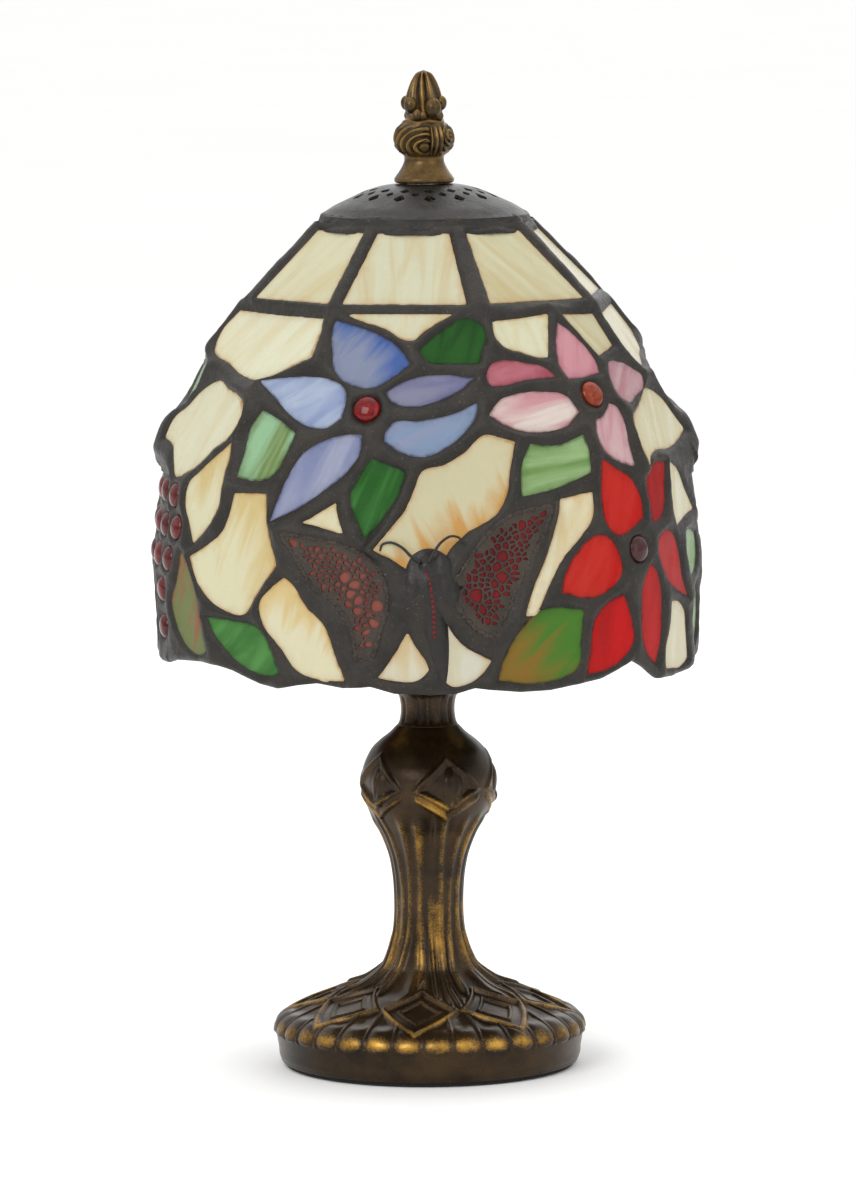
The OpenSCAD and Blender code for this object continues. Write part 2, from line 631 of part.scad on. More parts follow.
// Flared collar that closes the neck's top and carries the saddle
module neck_washer() {
    color([0.3, 0.26, 0.2])
        rotate_extrude()
            polygon([[pipe_r, neck_top_z], [neck_r, neck_top_z], [neck_flare_r, saddle_z - 0.4],
                     [neck_flare_r, saddle_z], [pipe_r, saddle_z]]);
}

// The washer and the hexagon nut under the web, that pull the stem together on the pipe
module pipe_washer() {
    color("silver") washer(9.5, pipe_r, web_low_z - pipe_washer_t, web_low_z);
}

module pipe_nut() {
    top = web_low_z - pipe_washer_t;
    color([0.7, 0.6, 0.35]) washer(8.2, pipe_r, top - pipe_nut_t, top, 6);
}

// A flat strap with a post at each end, that the harp's legs slip over
module harp_saddle() {
    strap_length = 2 * harp_leg_x + 8;
    strap_w = 12;
    post_low_z = saddle_z + 0.5;
    color([0.72, 0.58, 0.3])
        difference() {
            union() {
                translate([0, 0, (saddle_z + socket_z) / 2])
                    cube([strap_length, strap_w, socket_z - saddle_z], center = true);
                for (x = [-harp_leg_x, harp_leg_x])
                    translate([x, 0, post_low_z]) cylinder(r = harp_wire_r, h = post_top_z - post_low_z);
            }
            translate([0, 0, saddle_z - 1]) cylinder(r = pipe_r, h = 4);
        }
}

// ---- Socket and switch ----

// The lower half of the socket's case, screwed on the pipe
module socket_cap() {
    wall = 0.7;
    outer = [[8, socket_z], [8, 151], [12, 154.5], [16.2, 159], [socket_cap_r, 162],
        [socket_cap_r, socket_cap_top_z]];
    inner = [[socket_cap_r - wall, socket_cap_top_z], [socket_cap_r - wall, 162.4], [15.6, 159.6],
        [11.5, 155.2], [7.4, 152.2], [pipe_r, 152.2]];
    color([0.78, 0.65, 0.35]) rotate_extrude() polygon(concat([[pipe_r, socket_z]], outer, inner));
}

module socket_shell() {
    color([0.78, 0.65, 0.35])
        difference() {
            washer(socket_shell_r, socket_liner_r, 162.4, socket_top_z);
            switch_hole();
        }
}

module socket_liner() {
    color([0.8, 0.75, 0.65])
        difference() {
            washer(socket_liner_r, socket_liner_bore_r, 163, socket_top_z - 1);
            switch_hole();
        }
}

module switch_hole() {
    along_y(9, switch_z) cylinder(r = switch_hole_r, h = 20);
}

// Moulded core of the socket, with the switch and both terminals in it
module socket_interior() {
    flange_t = 2;
    color([0.1, 0.1, 0.1])
        difference() {
            union() {
                translate([0, 0, core_low_z]) cylinder(r = core_r, h = core_top_z - core_low_z);
                translate([0, 0, core_top_z - flange_t]) cylinder(r = socket_liner_bore_r, h = flange_t);
            }
            along_y(5, switch_z) cylinder(r = switch_shaft_r + running_gap, h = 20);
            for (x = [-1, 1])
                translate([x * 9, 0, terminal_z]) rotate([0, x * 90, 0]) cylinder(r = terminal_r, h = 6);
        }
}

module terminal_screws() {
    thread_t = 3;
    head_r = 2.4;
    head_t = 1.6;
    color([0.8, 0.7, 0.4])
        for (x = [-1, 1])
            translate([0, 0, terminal_z])
                rotate([0, x * 90, 0]) {
                    translate([0, 0, core_r - thread_t]) cylinder(r = terminal_r, h = thread_t);
                    translate([0, 0, core_r]) cylinder(r = head_r, h = head_t);
                }
}

module screw_shell() {
    outer_r = screw_shell_r + 0.6;
    color([0.82, 0.68, 0.36])
        union() {
            washer(outer_r, screw_shell_r, core_top_z + 0.8, 201.5);
            washer(outer_r, 6.5, core_top_z, core_top_z + 1);
        }
}

module centre_contact() {
    color([0.8, 0.7, 0.4]) translate([0, 0, core_top_z]) cylinder(r = 3.2, h = contact_z - core_top_z);
}

module switch_shaft() {
    color([0.7, 0.6, 0.4]) along_y(6, switch_z) cylinder(r = switch_shaft_r, h = 16);
}

module switch_knob() {
    flute_count = 12;
    flute_r = 1.3;
    color([0.08, 0.08, 0.08])
        along_y(19, switch_z)
            difference() {
                rotate_extrude() polygon([[0, 0], [4.2, 0], [5.6, 3], [6, 9], [5, 11], [0, 11.6]]);
                translate([0, 0, -1]) cylinder(r = switch_shaft_r, h = 4);
                for (i = [0 : flute_count - 1])
                    rotate(i * 360 / flute_count)
                        translate([6.9, 0, 4]) cylinder(r = flute_r, h = 9, $fn = 24);
            }
}

// ---- Bulb ----

module bulb_contact() {
    color("silver") translate([0, 0, contact_z]) cylinder(r = 4.4, h = 1.6);
}

module bulb_insulator() {
    color([0.08, 0.08, 0.1])
        rotate_extrude() polygon([[0, 180.1], [5, 180.1], [11.6, bulb_cap_z], [0, bulb_cap_z]]);
}

module bulb_cap() {
    color([0.8, 0.8, 0.8])
        translate([0, 0, bulb_cap_z])
            difference() {
                cylinder(r = screw_shell_r - running_gap, h = bulb_neck_z - bulb_cap_z);
                translate([0, 0, 1]) cylinder(r = screw_shell_r - 0.7, h = bulb_neck_z - bulb_cap_z);
            }
}

module bulb_glass() {
    grow = bulb_r / 30;
    crown_z = 286.4;
    outer = [for (p = bulb_outline) [p[1] < 210 ? p[0] : p[0] * grow, p[1]]];
    inner = [for (p = beside(outer, -bulb_wall)) [p[0], max(p[1], bulb_neck_z)]];
    color([0.95, 0.95, 0.92])
        rotate_extrude($fn = 90)
            polygon(concat(outer, [[0, crown_z], [0, crown_z - bulb_wall]], reversed(inner)));
}

// Glass foot inside the bulb, drawn up to the point that carries the filament
module bulb_stem() {
    foot_r = 8;
    foot_z = bulb_cap_z + 1;
    neck_z = bulb_neck_z + 2;
    color([0.85, 0.88, 0.9])
        rotate_extrude()
            polygon([[0, foot_z], [foot_r, foot_z], [foot_r, neck_z], [3.4, neck_z], [2.5, 232], [3.2, 236],
                [0, 237]]);
}

// Two lead wires with the coil strung between them
module bulb_filament() {
    lead_r = 0.4;
    coil_r = 0.6;
    coil_length = 18.8;
    color([0.5, 0.5, 0.5]) {
        for (x = [-1, 1])
            swept_wire([[x * 5.5, 0, 206], [x * 5.5, 0, 225], [x * 9, 0, 252.4]], lead_r, 8);
        translate([-coil_length / 2, 0, 252.6]) rotate([0, 90, 0]) cylinder(r = coil_r, h = coil_length);
    }
}

// ---- Harp ----

function arc(centre, radius, start, end, steps) =
    [for (i = [1 : steps]) let (a = start + (end - start) * i / steps) centre + radius * [cos(a), sin(a)]];

// Half of the bow, [x, height]: up the leg, flaring out, round the bulb and level under the stud
function bow_half() =
    let (foot = [harp_leg_x, post_top_z + 0.3], knee = [harp_leg_x, harp_leg_top_z],
        flare = arc(knee + [flare_r, 0], flare_r, 180, 180 - flare_turn, 4),
        belly_mid = flare[3] - belly_r * [cos(flare_turn), -sin(flare_turn)],
        belly = arc(belly_mid, belly_r, -flare_turn, belly_lean, 13),
        crown_mid = belly[12] - crown_r * [cos(belly_lean), sin(belly_lean)])
    concat([foot, knee], flare, belly, arc(crown_mid, crown_r, belly_lean, 90, 4));

module harp_bow() {
    half = bow_half();
    color([0.78, 0.65, 0.35])
        union() {
            swept_wire(concat([for (p = half) [p[0], 0, p[1]]], [for (p = reversed(half)) [-p[0], 0, p[1]]]),
                harp_wire_r, 12);
            translate([0, 0, disc_low_z]) cylinder(r = 9, h = disc_top_z - disc_low_z);
        }
}

module harp_stud() {
    color([0.78, 0.65, 0.35])
        translate([0, 0, disc_top_z]) {
            cylinder(r = 6, h = stud_flange_z - disc_top_z);
            cylinder(r = stud_r, h = stud_top_z - disc_top_z);
        }
}

// Sleeve that slides down over the joint between a leg and its post
module ferrule(x) {
    color([0.78, 0.65, 0.35])
        translate([x, 0, 0]) washer(3.1, harp_wire_r + running_gap, ferrule_low_z, ferrule_top_z, 48);
}

module seat_ring() {
    color([0.78, 0.65, 0.35]) washer(9, cap_hole_r, stud_flange_z, cap_top_z - cap_t);
}

lamp_body();
base_felt();
cord_bush();
center_pipe();
pipe_nut();
pipe_washer();
neck_tube();
neck_washer();
harp_saddle();
socket_cap();
socket_shell();
socket_liner();
socket_interior();
screw_shell();
centre_contact();
terminal_screws();
switch_shaft();
switch_knob();
bulb_contact();
bulb_insulator();
bulb_cap();
bulb_glass();
bulb_stem();
bulb_filament();
harp_bow();
harp_stud();
ferrule(-harp_leg_x);  // ferrule_left
ferrule(harp_leg_x);  // ferrule_right
seat_ring();
vent_cap();
cap_rim();
solder_lattice();
band_panels();
finial_washer();
finial_insert();
finial();
for (side = SIDES) {
    cream_glass_upper(side);
    cream_glass_lower(side);
    blue_petals(side);
    pink_petals(side);
    red_petals(side);
    leaves(side);
    streaked_leaf(side);
    flower_jewels(side);
    grapes(side);
    wing_glass(side);
    wing_filigree(side);
    butterfly_body(side);
}
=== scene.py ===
"""Looks of the stained glass table lamp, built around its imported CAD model.

The scene is in metres, +Z up, front at -Y; outlines and tables are in mm, which MM turns into metres.
Places on the shade are given as azimuth in degrees, 0 at the front and positive to the viewer's right,
and height. The back half of the shade repeats the front.
"""

import math

import bmesh
import bpy
import numpy as np
from mathutils import Matrix, Vector, noise
from mathutils.geometry import delaunay_2d_cdt


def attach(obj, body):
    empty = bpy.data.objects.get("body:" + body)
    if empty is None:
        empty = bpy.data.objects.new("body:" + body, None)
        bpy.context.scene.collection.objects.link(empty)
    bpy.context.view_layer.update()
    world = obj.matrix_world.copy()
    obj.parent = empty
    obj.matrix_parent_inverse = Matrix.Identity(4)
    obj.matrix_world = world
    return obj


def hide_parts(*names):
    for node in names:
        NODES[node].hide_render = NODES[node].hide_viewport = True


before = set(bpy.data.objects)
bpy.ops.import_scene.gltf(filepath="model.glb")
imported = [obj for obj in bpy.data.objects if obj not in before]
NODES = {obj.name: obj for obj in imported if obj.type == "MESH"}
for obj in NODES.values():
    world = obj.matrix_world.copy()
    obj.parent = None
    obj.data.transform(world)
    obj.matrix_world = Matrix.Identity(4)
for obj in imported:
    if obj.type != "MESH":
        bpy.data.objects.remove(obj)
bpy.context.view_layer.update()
SIDES = ("front", "back")
MM = 0.001

# ---- Meshes ----


def new_piece(name, verts, faces, body, slot, material, replaces=(), smooth=True):
    """A mesh object that rides on a CAD body."""
    mesh = bpy.data.meshes.new(name)
    mesh.from_pydata([tuple(v) for v in verts], [], [tuple(int(i) for i in f) for f in faces])
    mesh.validate()
    mesh.update()
    if smooth:
        mesh.shade_smooth()
    piece = bpy.data.objects.new(name, mesh)
    bpy.context.scene.collection.objects.link(piece)
    mesh.materials.append(material)
    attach(piece, body)
    if replaces:
        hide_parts(*replaces)
    return piece


class Parts:
    """Points and faces of several shells that make one piece."""

    def __init__(self):
        self.points, self.faces, self.count = [], [], 0

    def add(self, points, faces):
        self.points.append(np.asarray(points))
        self.faces += [tuple(self.count + k for k in face) for face in faces]
        self.count += len(points)

    def joined(self):
        return np.concatenate(self.points), self.faces


def point_colour(piece, name, values):
    layer = piece.data.attributes.new(name, "FLOAT_COLOR", "POINT")
    rgba = np.ones((len(values), 4), np.float32)
    rgba[:, :3] = values
    layer.data.foreach_set("color", rgba.ravel())


def point_vector(piece, name, values):
    layer = piece.data.attributes.new(name, "FLOAT_VECTOR", "POINT")
    layer.data.foreach_set("vector", np.asarray(values, np.float32).ravel())


def point_float(piece, name, values):
    layer = piece.data.attributes.new(name, "FLOAT", "POINT")
    layer.data.foreach_set("value", np.asarray(values, np.float32).ravel())


def grid_faces(rows, cols, keep=None):
    """Quads of a grid of points stored row by row, whose columns close up on themselves."""
    i, j = np.meshgrid(np.arange(rows - 1), np.arange(cols), indexing="ij")
    k = (j + 1) % cols
    quads = np.stack([i * cols + j, i * cols + k, (i + 1) * cols + k, (i + 1) * cols + j], -1)
    if keep is not None:
        quads = quads[keep[i, j] | keep[i, k] | keep[i + 1, k] | keep[i + 1, j]]
    return quads.reshape(-1, 4)


def seam_faces(rows, cols):
    """Quads that join such a grid's last row to its first."""
    first, last = np.arange(cols), np.arange(cols) + (rows - 1) * cols
    return np.stack([last, np.roll(last, -1), np.roll(first, -1), first], -1)


def without_loose(verts, faces):
    """Drops the points that no face uses; returns points, faces and the indices kept."""
    used = np.unique(faces)
    place = np.zeros(len(verts), np.int64)
    place[used] = np.arange(len(used))
    return verts[used], place[faces], used


def smoothstep(x, low, high):
    t = np.clip((x - low) / (high - low), 0, 1)
    return t * t * (3 - 2 * t)


def direction(azimuth):
    a = np.radians(azimuth)
    return np.stack([np.sin(a), -np.cos(a), np.zeros_like(a)], -1)


def ripple(points, *pattern):
    """Smooth noise at each point; the further numbers choose its pattern."""
    return np.array([noise.noise(Vector((*p, *pattern))) for p in points])


def hermite(start, end, leave, arrive, length, t):
    """Points at the shares t of a curve between two points that leaves and arrives in given directions."""
    return ((2 * t**3 - 3 * t**2 + 1) * start + (t**3 - 2 * t**2 + t) * length * leave
            + (3 * t**2 - 2 * t**3) * end + (t**3 - t**2) * length * arrive)


def curve_distances(points):
    """How far along its polyline each point lies."""
    length = np.linalg.norm(np.diff(points, axis=0), axis=1)
    return np.concatenate([[0], np.cumsum(length)])


def curve_at(points, at):
    """Points at the distances at along a smooth curve through points."""
    s = curve_distances(points)
    slope = np.gradient(points, s, axis=0)
    i = np.clip(np.searchsorted(s, at, "right") - 1, 0, len(s) - 2)
    length = np.diff(s)[i][:, None]
    t = (at - s[i])[:, None] / length
    return hermite(points[i], points[i + 1], slope[i], slope[i + 1], length, t)


# ---- Reading the CAD glass ----


def cad_solids(node):
    """The separate solids of a CAD node, each as (points, triangles)."""
    mesh = NODES[node].data
    mesh.calc_loop_triangles()
    co = np.array([v.co for v in mesh.vertices])
    tris = np.array([t.vertices for t in mesh.loop_triangles])
    _, first, same = np.unique(np.round(co, 6), axis=0, return_index=True, return_inverse=True)
    tris = same.reshape(-1)[tris]
    points = co[first]
    label = np.arange(len(points))
    for _ in range(200):
        low = label[tris].min(1)
        before = label.copy()
        for c in range(3):
            np.minimum.at(label, tris[:, c], low)
        label = label[label]
        if (before == label).all():
            break
    return [(points, tris[label[tris[:, 0]] == k]) for k in np.unique(label[tris[:, 0]])]


class Plane:
    """A flat frame on the shade: x sideways, y up the glass, z outwards."""

    def __init__(self, centre, outwards):
        self.centre = np.array(centre, float)
        self.z = np.array(outwards, float)
        self.z /= np.linalg.norm(self.z)
        self.x = np.cross([0, 0, 1], self.z)
        self.x /= np.linalg.norm(self.x)
        self.y = np.cross(self.z, self.x)

    def flat(self, points):
        d = np.asarray(points) - self.centre
        return np.stack([d @ self.x, d @ self.y, d @ self.z], -1)

    def world(self, flat):
        flat = np.asarray(flat)
        return self.centre + flat[:, :1] * self.x + flat[:, 1:2] * self.y + flat[:, 2:3] * self.z


def plate_outline(points, tris):
    """The plane through the middle of a flat CAD plate, and its outline in that plane."""
    corners = points[tris]
    cross = np.cross(corners[:, 1] - corners[:, 0], corners[:, 2] - corners[:, 0])
    area = np.linalg.norm(cross, axis=1)
    normals = cross / np.maximum(area, 1e-15)[:, None]
    middle = points[np.unique(tris)].mean(0)
    away = middle * [1, 1, 0]
    best, found = -1, None
    for n in normals[np.argsort(-area)[:40]]:
        size = area[normals @ n > 0.999].sum()
        if n @ away > 0 and size > best * 1.001:
            best, found = size, n
    face = tris[(normals @ found > 0.999) & (area > 1e-13)]
    edges = {}
    for t in face:
        for a, b in ((t[0], t[1]), (t[1], t[2]), (t[2], t[0])):
            if edges.pop((b, a), None) is None:
                edges[(a, b)] = True
    following = dict(edges.keys())
    start = next(iter(following))
    loop = [start]
    while following[loop[-1]] != start and len(loop) < 500:
        loop.append(following[loop[-1]])
    plane = Plane(middle, found)
    return plane, plane.flat(points[loop])[:, :2]


def smooth_outline(loop, step=1.1 * MM, sharp=58):
    """A curve through an outline's points that keeps the corners that turn sharply."""
    n = len(loop)
    ahead = np.roll(loop, -1, 0) - loop
    length = np.linalg.norm(ahead, axis=1)
    unit = ahead / length[:, None]
    before = np.roll(unit, 1, 0)
    turn = np.degrees(np.arccos(np.clip((unit * before).sum(1), -1, 1)))
    weight = length / (length + np.roll(length, 1))
    mean = before * weight[:, None] + unit * (1 - weight[:, None])
    mean /= np.maximum(np.linalg.norm(mean, axis=1), 1e-9)[:, None]
    corner = (turn > sharp)[:, None]
    leave, arrive = np.where(corner, unit, mean), np.where(corner, before, mean)
    out = []
    for i in range(n):
        j = (i + 1) % n
        steps = max(2, int(round(length[i] / step)))
        t = (np.arange(steps) / steps)[:, None]
        out.append(hermite(loop[i], loop[j], leave[i], arrive[j], length[i], t))
    return np.concatenate(out)


def signed_distance(points, loop):
    """Distance of flat points from a closed outline, negative inside."""
    a, b = loop, np.roll(loop, -1, 0)
    ab = b - a
    best = np.full(len(points), 1e9)
    inside = np.zeros(len(points), bool)
    for p, q, d in zip(a, b, ab):
        rel = points - p
        t = np.clip((rel @ d) / max(d @ d, 1e-16), 0, 1)
        off = rel - t[:, None] * d
        best = np.minimum(best, (off * off).sum(1))
        spans = (p[1] > points[:, 1]) != (q[1] > points[:, 1])
        if spans.any() and d[1] != 0:
            x = p[0] + (points[:, 1] - p[1]) * d[0] / d[1]
            inside ^= spans & (points[:, 0] < x)
    return np.sqrt(best) * np.where(inside, -1, 1)


# Distances to the glass are only worked out this far
REACH = 14 * MM


class Pane:
    """One flat piece of glass."""

    def __init__(self, plane, loop):
        self.plane, self.loop = plane, loop

    def distance(self, points):
        flat = self.plane.flat(points)
        far = np.abs(flat).max(1) > np.abs(self.loop).max() + REACH
        d = np.full(len(points), 1.0)
        near = ~far
        d[near] = signed_distance(flat[near][:, :2], self.loop)
        return d, flat[:, 2]


class Gem:
    """One round cabochon: a jewel or a grape."""

    def __init__(self, plane, radius):
        self.plane, self.radius = plane, radius

    def distance(self, points):
        flat = self.plane.flat(points)
        d = np.linalg.norm(flat[:, :2], axis=1) - self.radius
        d[np.abs(flat[:, 2]) > REACH] = 1.0
        return d, flat[:, 2]


def azimuth_of(p):
    return math.degrees(math.atan2(p[0], -p[1]))


def from_left(node, pieces):
    """Pieces of glass in a fixed order: from the left of their own half of the shade."""
    turn = 180 if node.endswith("_back") else 0
    return sorted(pieces, key=lambda p: round((azimuth_of(p.plane.centre) + turn + 540) % 360 - 180, 1))


def read_panes(node):
    panes = []
    for points, tris in cad_solids(node):
        plane, loop = plate_outline(points, tris)
        panes.append(Pane(plane, smooth_outline(loop)))
    return from_left(node, panes)


def read_gems(node):
    gems = []
    for points, tris in cad_solids(node):
        own = points[np.unique(tris)]
        middle = own.mean(0)
        corners = points[tris]
        cross = np.cross(corners[:, 1] - corners[:, 0], corners[:, 2] - corners[:, 0])
        away = middle * [1, 1, 0]
        inner = cross[cross @ away < 0]
        area = np.linalg.norm(inner, axis=1)
        normal = -inner[np.argmax(area)]
        plane = Plane(middle, normal)
        flat = plane.flat(own)
        heart = (flat[:, :2].max(0) + flat[:, :2].min(0)) / 2
        radius = np.linalg.norm(flat[:, :2] - heart, axis=1).max()
        base = plane.world(np.array([[*heart, flat[:, 2].min()]]))[0]
        gems.append(Gem(Plane(base, normal), radius))
    return from_left(node, gems)


# ---- Materials ----


class Shader:
    """A node material with short ways to add nodes."""

    def __init__(self, name, **sockets):
        self.material = bpy.data.materials.new(name)
        self.material.use_nodes = True
        self.tree = self.material.node_tree
        self.surface = self.tree.nodes["Principled BSDF"]
        for socket, value in sockets.items():
            self.surface.inputs[socket.replace("_", " ")].default_value = value

    def node(self, kind, settings=None, **inputs):
        made = self.tree.nodes.new("ShaderNode" + kind)
        for key, value in (settings or {}).items():
            setattr(made, key, value)
        for key, value in inputs.items():
            self.put(made.inputs[key.replace("_", " ")], value)
        return made

    def put(self, socket, value):
        if isinstance(value, bpy.types.NodeSocket):
            self.tree.links.new(value, socket)
        elif isinstance(value, (tuple, list)) and len(value) == 3 and socket.type == "RGBA":
            socket.default_value = (*value, 1.0)
        else:
            socket.default_value = value

    def attribute(self, name, output="Color"):
        return self.node("Attribute", {"attribute_name": name}).outputs[output]

    def position(self):
        return self.node("TexCoord").outputs["Object"]

    def noise(self, scale, vector=None, detail=3.0, roughness=0.5, distortion=0.0):
        made = self.node("TexNoise", Scale=scale, Detail=detail, Roughness=roughness,
                         Distortion=distortion, Vector=vector or self.position())
        return made.outputs[0]

    def ramp(self, factor, stops):
        """A number or colour that follows factor through (place, value) stops."""
        made = self.node("ValToRGB")
        self.tree.links.new(factor, made.inputs[0])
        elements = made.color_ramp.elements
        while len(elements) < len(stops):
            elements.new(0.5)
        for element, (place, value) in zip(elements, stops):
            element.position = place
            rgb = value if isinstance(value, tuple) else (value,) * 3
            element.color = (*rgb, 1.0)
        return made.outputs[0]

    def mix(self, factor, a, b, blend="MIX"):
        made = self.tree.nodes.new("ShaderNodeMix")
        made.data_type = "RGBA"
        made.blend_type = blend
        self.put(made.inputs[0], factor)
        self.put(made.inputs[6], a)
        self.put(made.inputs[7], b)
        return made.outputs[2]

    def math(self, operation, a, b=0.0):
        made = self.node("Math", {"operation": operation})
        self.put(made.inputs[0], a)
        self.put(made.inputs[1], b)
        return made.outputs[0]

    def bump(self, height, strength, distance):
        made = self.node("Bump", Strength=strength, Distance=distance)
        self.tree.links.new(height, made.inputs["Height"])
        self.tree.links.new(made.outputs[0], self.surface.inputs["Normal"])

    def colour(self, value):
        self.put(self.surface.inputs["Base Color"], value)

    def roughness(self, value):
        self.put(self.surface.inputs["Roughness"], value)


def rgb(red, green, blue):
    """Linear colour of an sRGB one given in 0..255."""
    return tuple(((c / 255 + 0.055) / 1.055) ** 2.4 if c > 10 else c / 3294.6 for c in (red, green, blue))


def glass_material(name):
    """Opalescent sheet glass: two colours per piece, stirred together in long soft streaks."""
    sh = Shader(name, IOR=1.5, Specular_IOR_Level=0.12, Coat_Weight=0.03, Coat_Roughness=0.08)
    grain = sh.attribute("grain", "Vector")
    tint, streak = sh.attribute("tint"), sh.attribute("streak")
    swirl = sh.noise(1.0, grain, detail=4.0, roughness=0.55, distortion=0.9)
    factor = sh.ramp(sh.math("ADD", swirl, sh.attribute("grade", "Fac")), [(0.42, 0.0), (0.66, 1.0)])
    fine = sh.noise(3.2, grain, detail=3.0, roughness=0.6, distortion=0.4)
    body = sh.mix(factor, tint, streak)
    body = sh.mix(0.16, body, sh.ramp(fine, [(0.3, 0.8), (0.7, 1.0)]), "MULTIPLY")
    edge = sh.attribute("edge")
    ragged = sh.noise(260.0, detail=3.0)
    torn = sh.ramp(ragged, [(0.35, 0.35), (0.7, 1.0)])
    depth = sh.math("MULTIPLY", sh.attribute("near_solder", "Fac"), torn)
    body = sh.mix(depth, body, edge)
    sh.colour(body)
    sh.roughness(sh.ramp(sh.noise(90.0), [(0.3, 0.176), (0.7, 0.33)]))
    sh.bump(sh.noise(110.0, detail=2.0), 0.12, 0.0008)
    return sh.material


def jewel_material(name):
    """Pressed glass, polished, lit from within by its own depth."""
    sh = Shader(name, IOR=1.55, Specular_IOR_Level=0.22, Coat_Weight=0.1, Coat_Roughness=0.03)
    tint, streak = sh.attribute("tint"), sh.attribute("streak")
    cloud = sh.noise(420.0, detail=3.0, distortion=0.6)
    sh.colour(sh.mix(sh.ramp(cloud, [(0.4, 0.0), (0.7, 1.0)]), tint, streak))
    sh.roughness(sh.ramp(sh.noise(700.0), [(0.3, 0.06), (0.7, 0.16)]))
    sh.bump(sh.noise(500.0, detail=2.0), 0.08, 0.0003)
    return sh.material


def solder_material(name, base=(44, 40, 35), pale=(120, 115, 104)):
    """Blackened solder: satin near-black, with small pale specks where the black has worn off its lumps."""
    sh = Shader(name, Metallic=0.15, Specular_IOR_Level=0.3)
    broad = sh.noise(90.0, detail=5.0, roughness=0.6)
    fine = sh.noise(900.0, detail=4.0, roughness=0.7)
    dark = tuple(c * 0.55 for c in rgb(*base))
    body = sh.mix(sh.ramp(broad, [(0.35, 0.0), (0.65, 1.0)]), dark, rgb(*base))
    body = sh.mix(sh.ramp(fine, [(0.6, 0.0), (0.78, 0.55)]), body, rgb(*pale))
    sh.colour(body)
    sh.roughness(sh.ramp(fine, [(0.3, 0.3), (0.7, 0.55)]))
    sh.bump(sh.mix(0.5, broad, fine), 0.5, 0.0014)
    return sh.material


def jewel_spots_material():
    """Dark red glass seen through the small openings along the butterfly's body."""
    sh = Shader("body_spots", Specular_IOR_Level=0.25)
    sh.colour(sh.mix(sh.noise(600.0), rgb(122, 14, 14), rgb(78, 8, 10)))
    sh.roughness(sh.ramp(sh.noise(900.0), [(0.3, 0.2), (0.7, 0.35)]))
    return sh.material


def metal_material(name, bright, dull):
    """Bare or plated metal, a little tarnished, with fine tool marks."""
    sh = Shader(name, Metallic=1.0)
    marks = sh.noise(300.0, detail=4.0, roughness=0.6)
    broad = sh.noise(60.0, detail=3.0)
    sh.colour(sh.mix(sh.ramp(broad, [(0.35, 0.0), (0.7, 1.0)]), rgb(*bright), rgb(*dull)))
    sh.roughness(sh.ramp(marks, [(0.3, 0.2), (0.7, 0.4)]))
    sh.bump(marks, 0.15, 0.0002)
    return sh.material


def plain_material(name, base, other, rough, scale=400.0, depth=0.0003, strength=0.3, **sockets):
    """Moulded, pressed or felted stuff: a mottled colour with a fine surface."""
    sh = Shader(name, **sockets)
    fine = sh.noise(scale, detail=5.0, roughness=0.7)
    sh.colour(sh.mix(sh.ramp(fine, [(0.3, 0.0), (0.7, 1.0)]), rgb(*base), rgb(*other)))
    sh.roughness(sh.ramp(sh.noise(scale * 0.4), [(0.3, rough * 0.85), (0.7, min(1.0, rough * 1.15))]))
    sh.bump(fine, strength, depth)
    return sh.material


def patina_material(name, brown, deep, gold, speckle=1500.0, grain=1.1):
    """Dark bronze patina with gold where the point attribute is high: gold rubbed through on the relief, and
    painted highlights on the foot's front noses and on the tops of the finial's berries.
    """
    sh = Shader(name, Metallic=0.6, Specular_IOR_Level=0.4)
    cloud = sh.noise(55.0, detail=4.0, roughness=0.6)
    body = sh.mix(sh.ramp(cloud, [(0.35, 0.0), (0.65, 1.0)]), rgb(*deep), rgb(*brown))
    grit = sh.noise(speckle, detail=4.0, roughness=0.75)
    patch = sh.noise(140.0, detail=4.0, roughness=0.6)
    # The attribute carries rubbed gold and painted highlights alike
    wear_and_highlight = sh.math("MULTIPLY", sh.attribute("rub", "Fac"), sh.ramp(patch, [(0.32, 0.25), (0.66, 1.15)]))
    worn = sh.math("ADD", wear_and_highlight, sh.math("MULTIPLY", sh.math("SUBTRACT", grit, 0.5), grain))
    half = tuple((a + b) / 2 for a, b in zip(rgb(*gold), rgb(*brown)))
    body = sh.mix(sh.ramp(worn, [(0.12, 0.0), (0.5, 0.85)]), body, half)
    body = sh.mix(sh.ramp(worn, [(0.5, 0.0), (0.95, 0.9)]), body, rgb(*gold))
    sh.colour(body)
    sh.roughness(sh.ramp(grit, [(0.3, 0.24), (0.7, 0.42)]))
    sh.bump(sh.noise(420.0, detail=4.0), 0.12, 0.0006)
    return sh.material


# ---- Shade: its shape ----

# Middle of the wall in mm: height and radius of the dome, and height and corner radius of the band
DOME_LINE = [
    (153, 100), (162, 100.3), (175, 100.5), (192, 101.5), (205, 100), (226, 97), (242, 95.5), (254, 89.6),
    (262, 85.6), (273, 80), (281, 75.2), (291, 68.6), (300, 62.6),
]
BAND_LINE = [(280, 82.3), (290, 72), (320, 41.2), (323, 38.1)]
BAND_TURN, BAND_STEP = -28.5, 45.0
# The round dome turns into the eight-sided band between these heights
LOW, HIGH = 284.0, 292.0
DOME_R = 100
FOOT_Z, TOP_Z = 155, 320.2
GLASS_T = 2.8
# Height of the uneven rim against azimuth, over the front half
RIM = [
    (-90, 158.5), (-84, 157.6), (-74, 157.8), (-68, 160), (-57, 161.2), (-50, 161), (-46, 159.6), (-43, 158),
    (-38, 155.6), (-33, 154.6), (-29, 156), (-24, 157.2), (-18, 156), (-12, 156.8), (-7, 154.2), (0, 153.8),
    (6, 154), (10, 156), (14, 155.2), (20, 153.8), (27, 153.8), (34, 155.6), (40, 156.6), (44, 158.8),
    (48.5, 162), (53, 158.6), (58, 153.6), (66, 153), (75, 153.8), (82, 156.6), (90, 158.5),
]


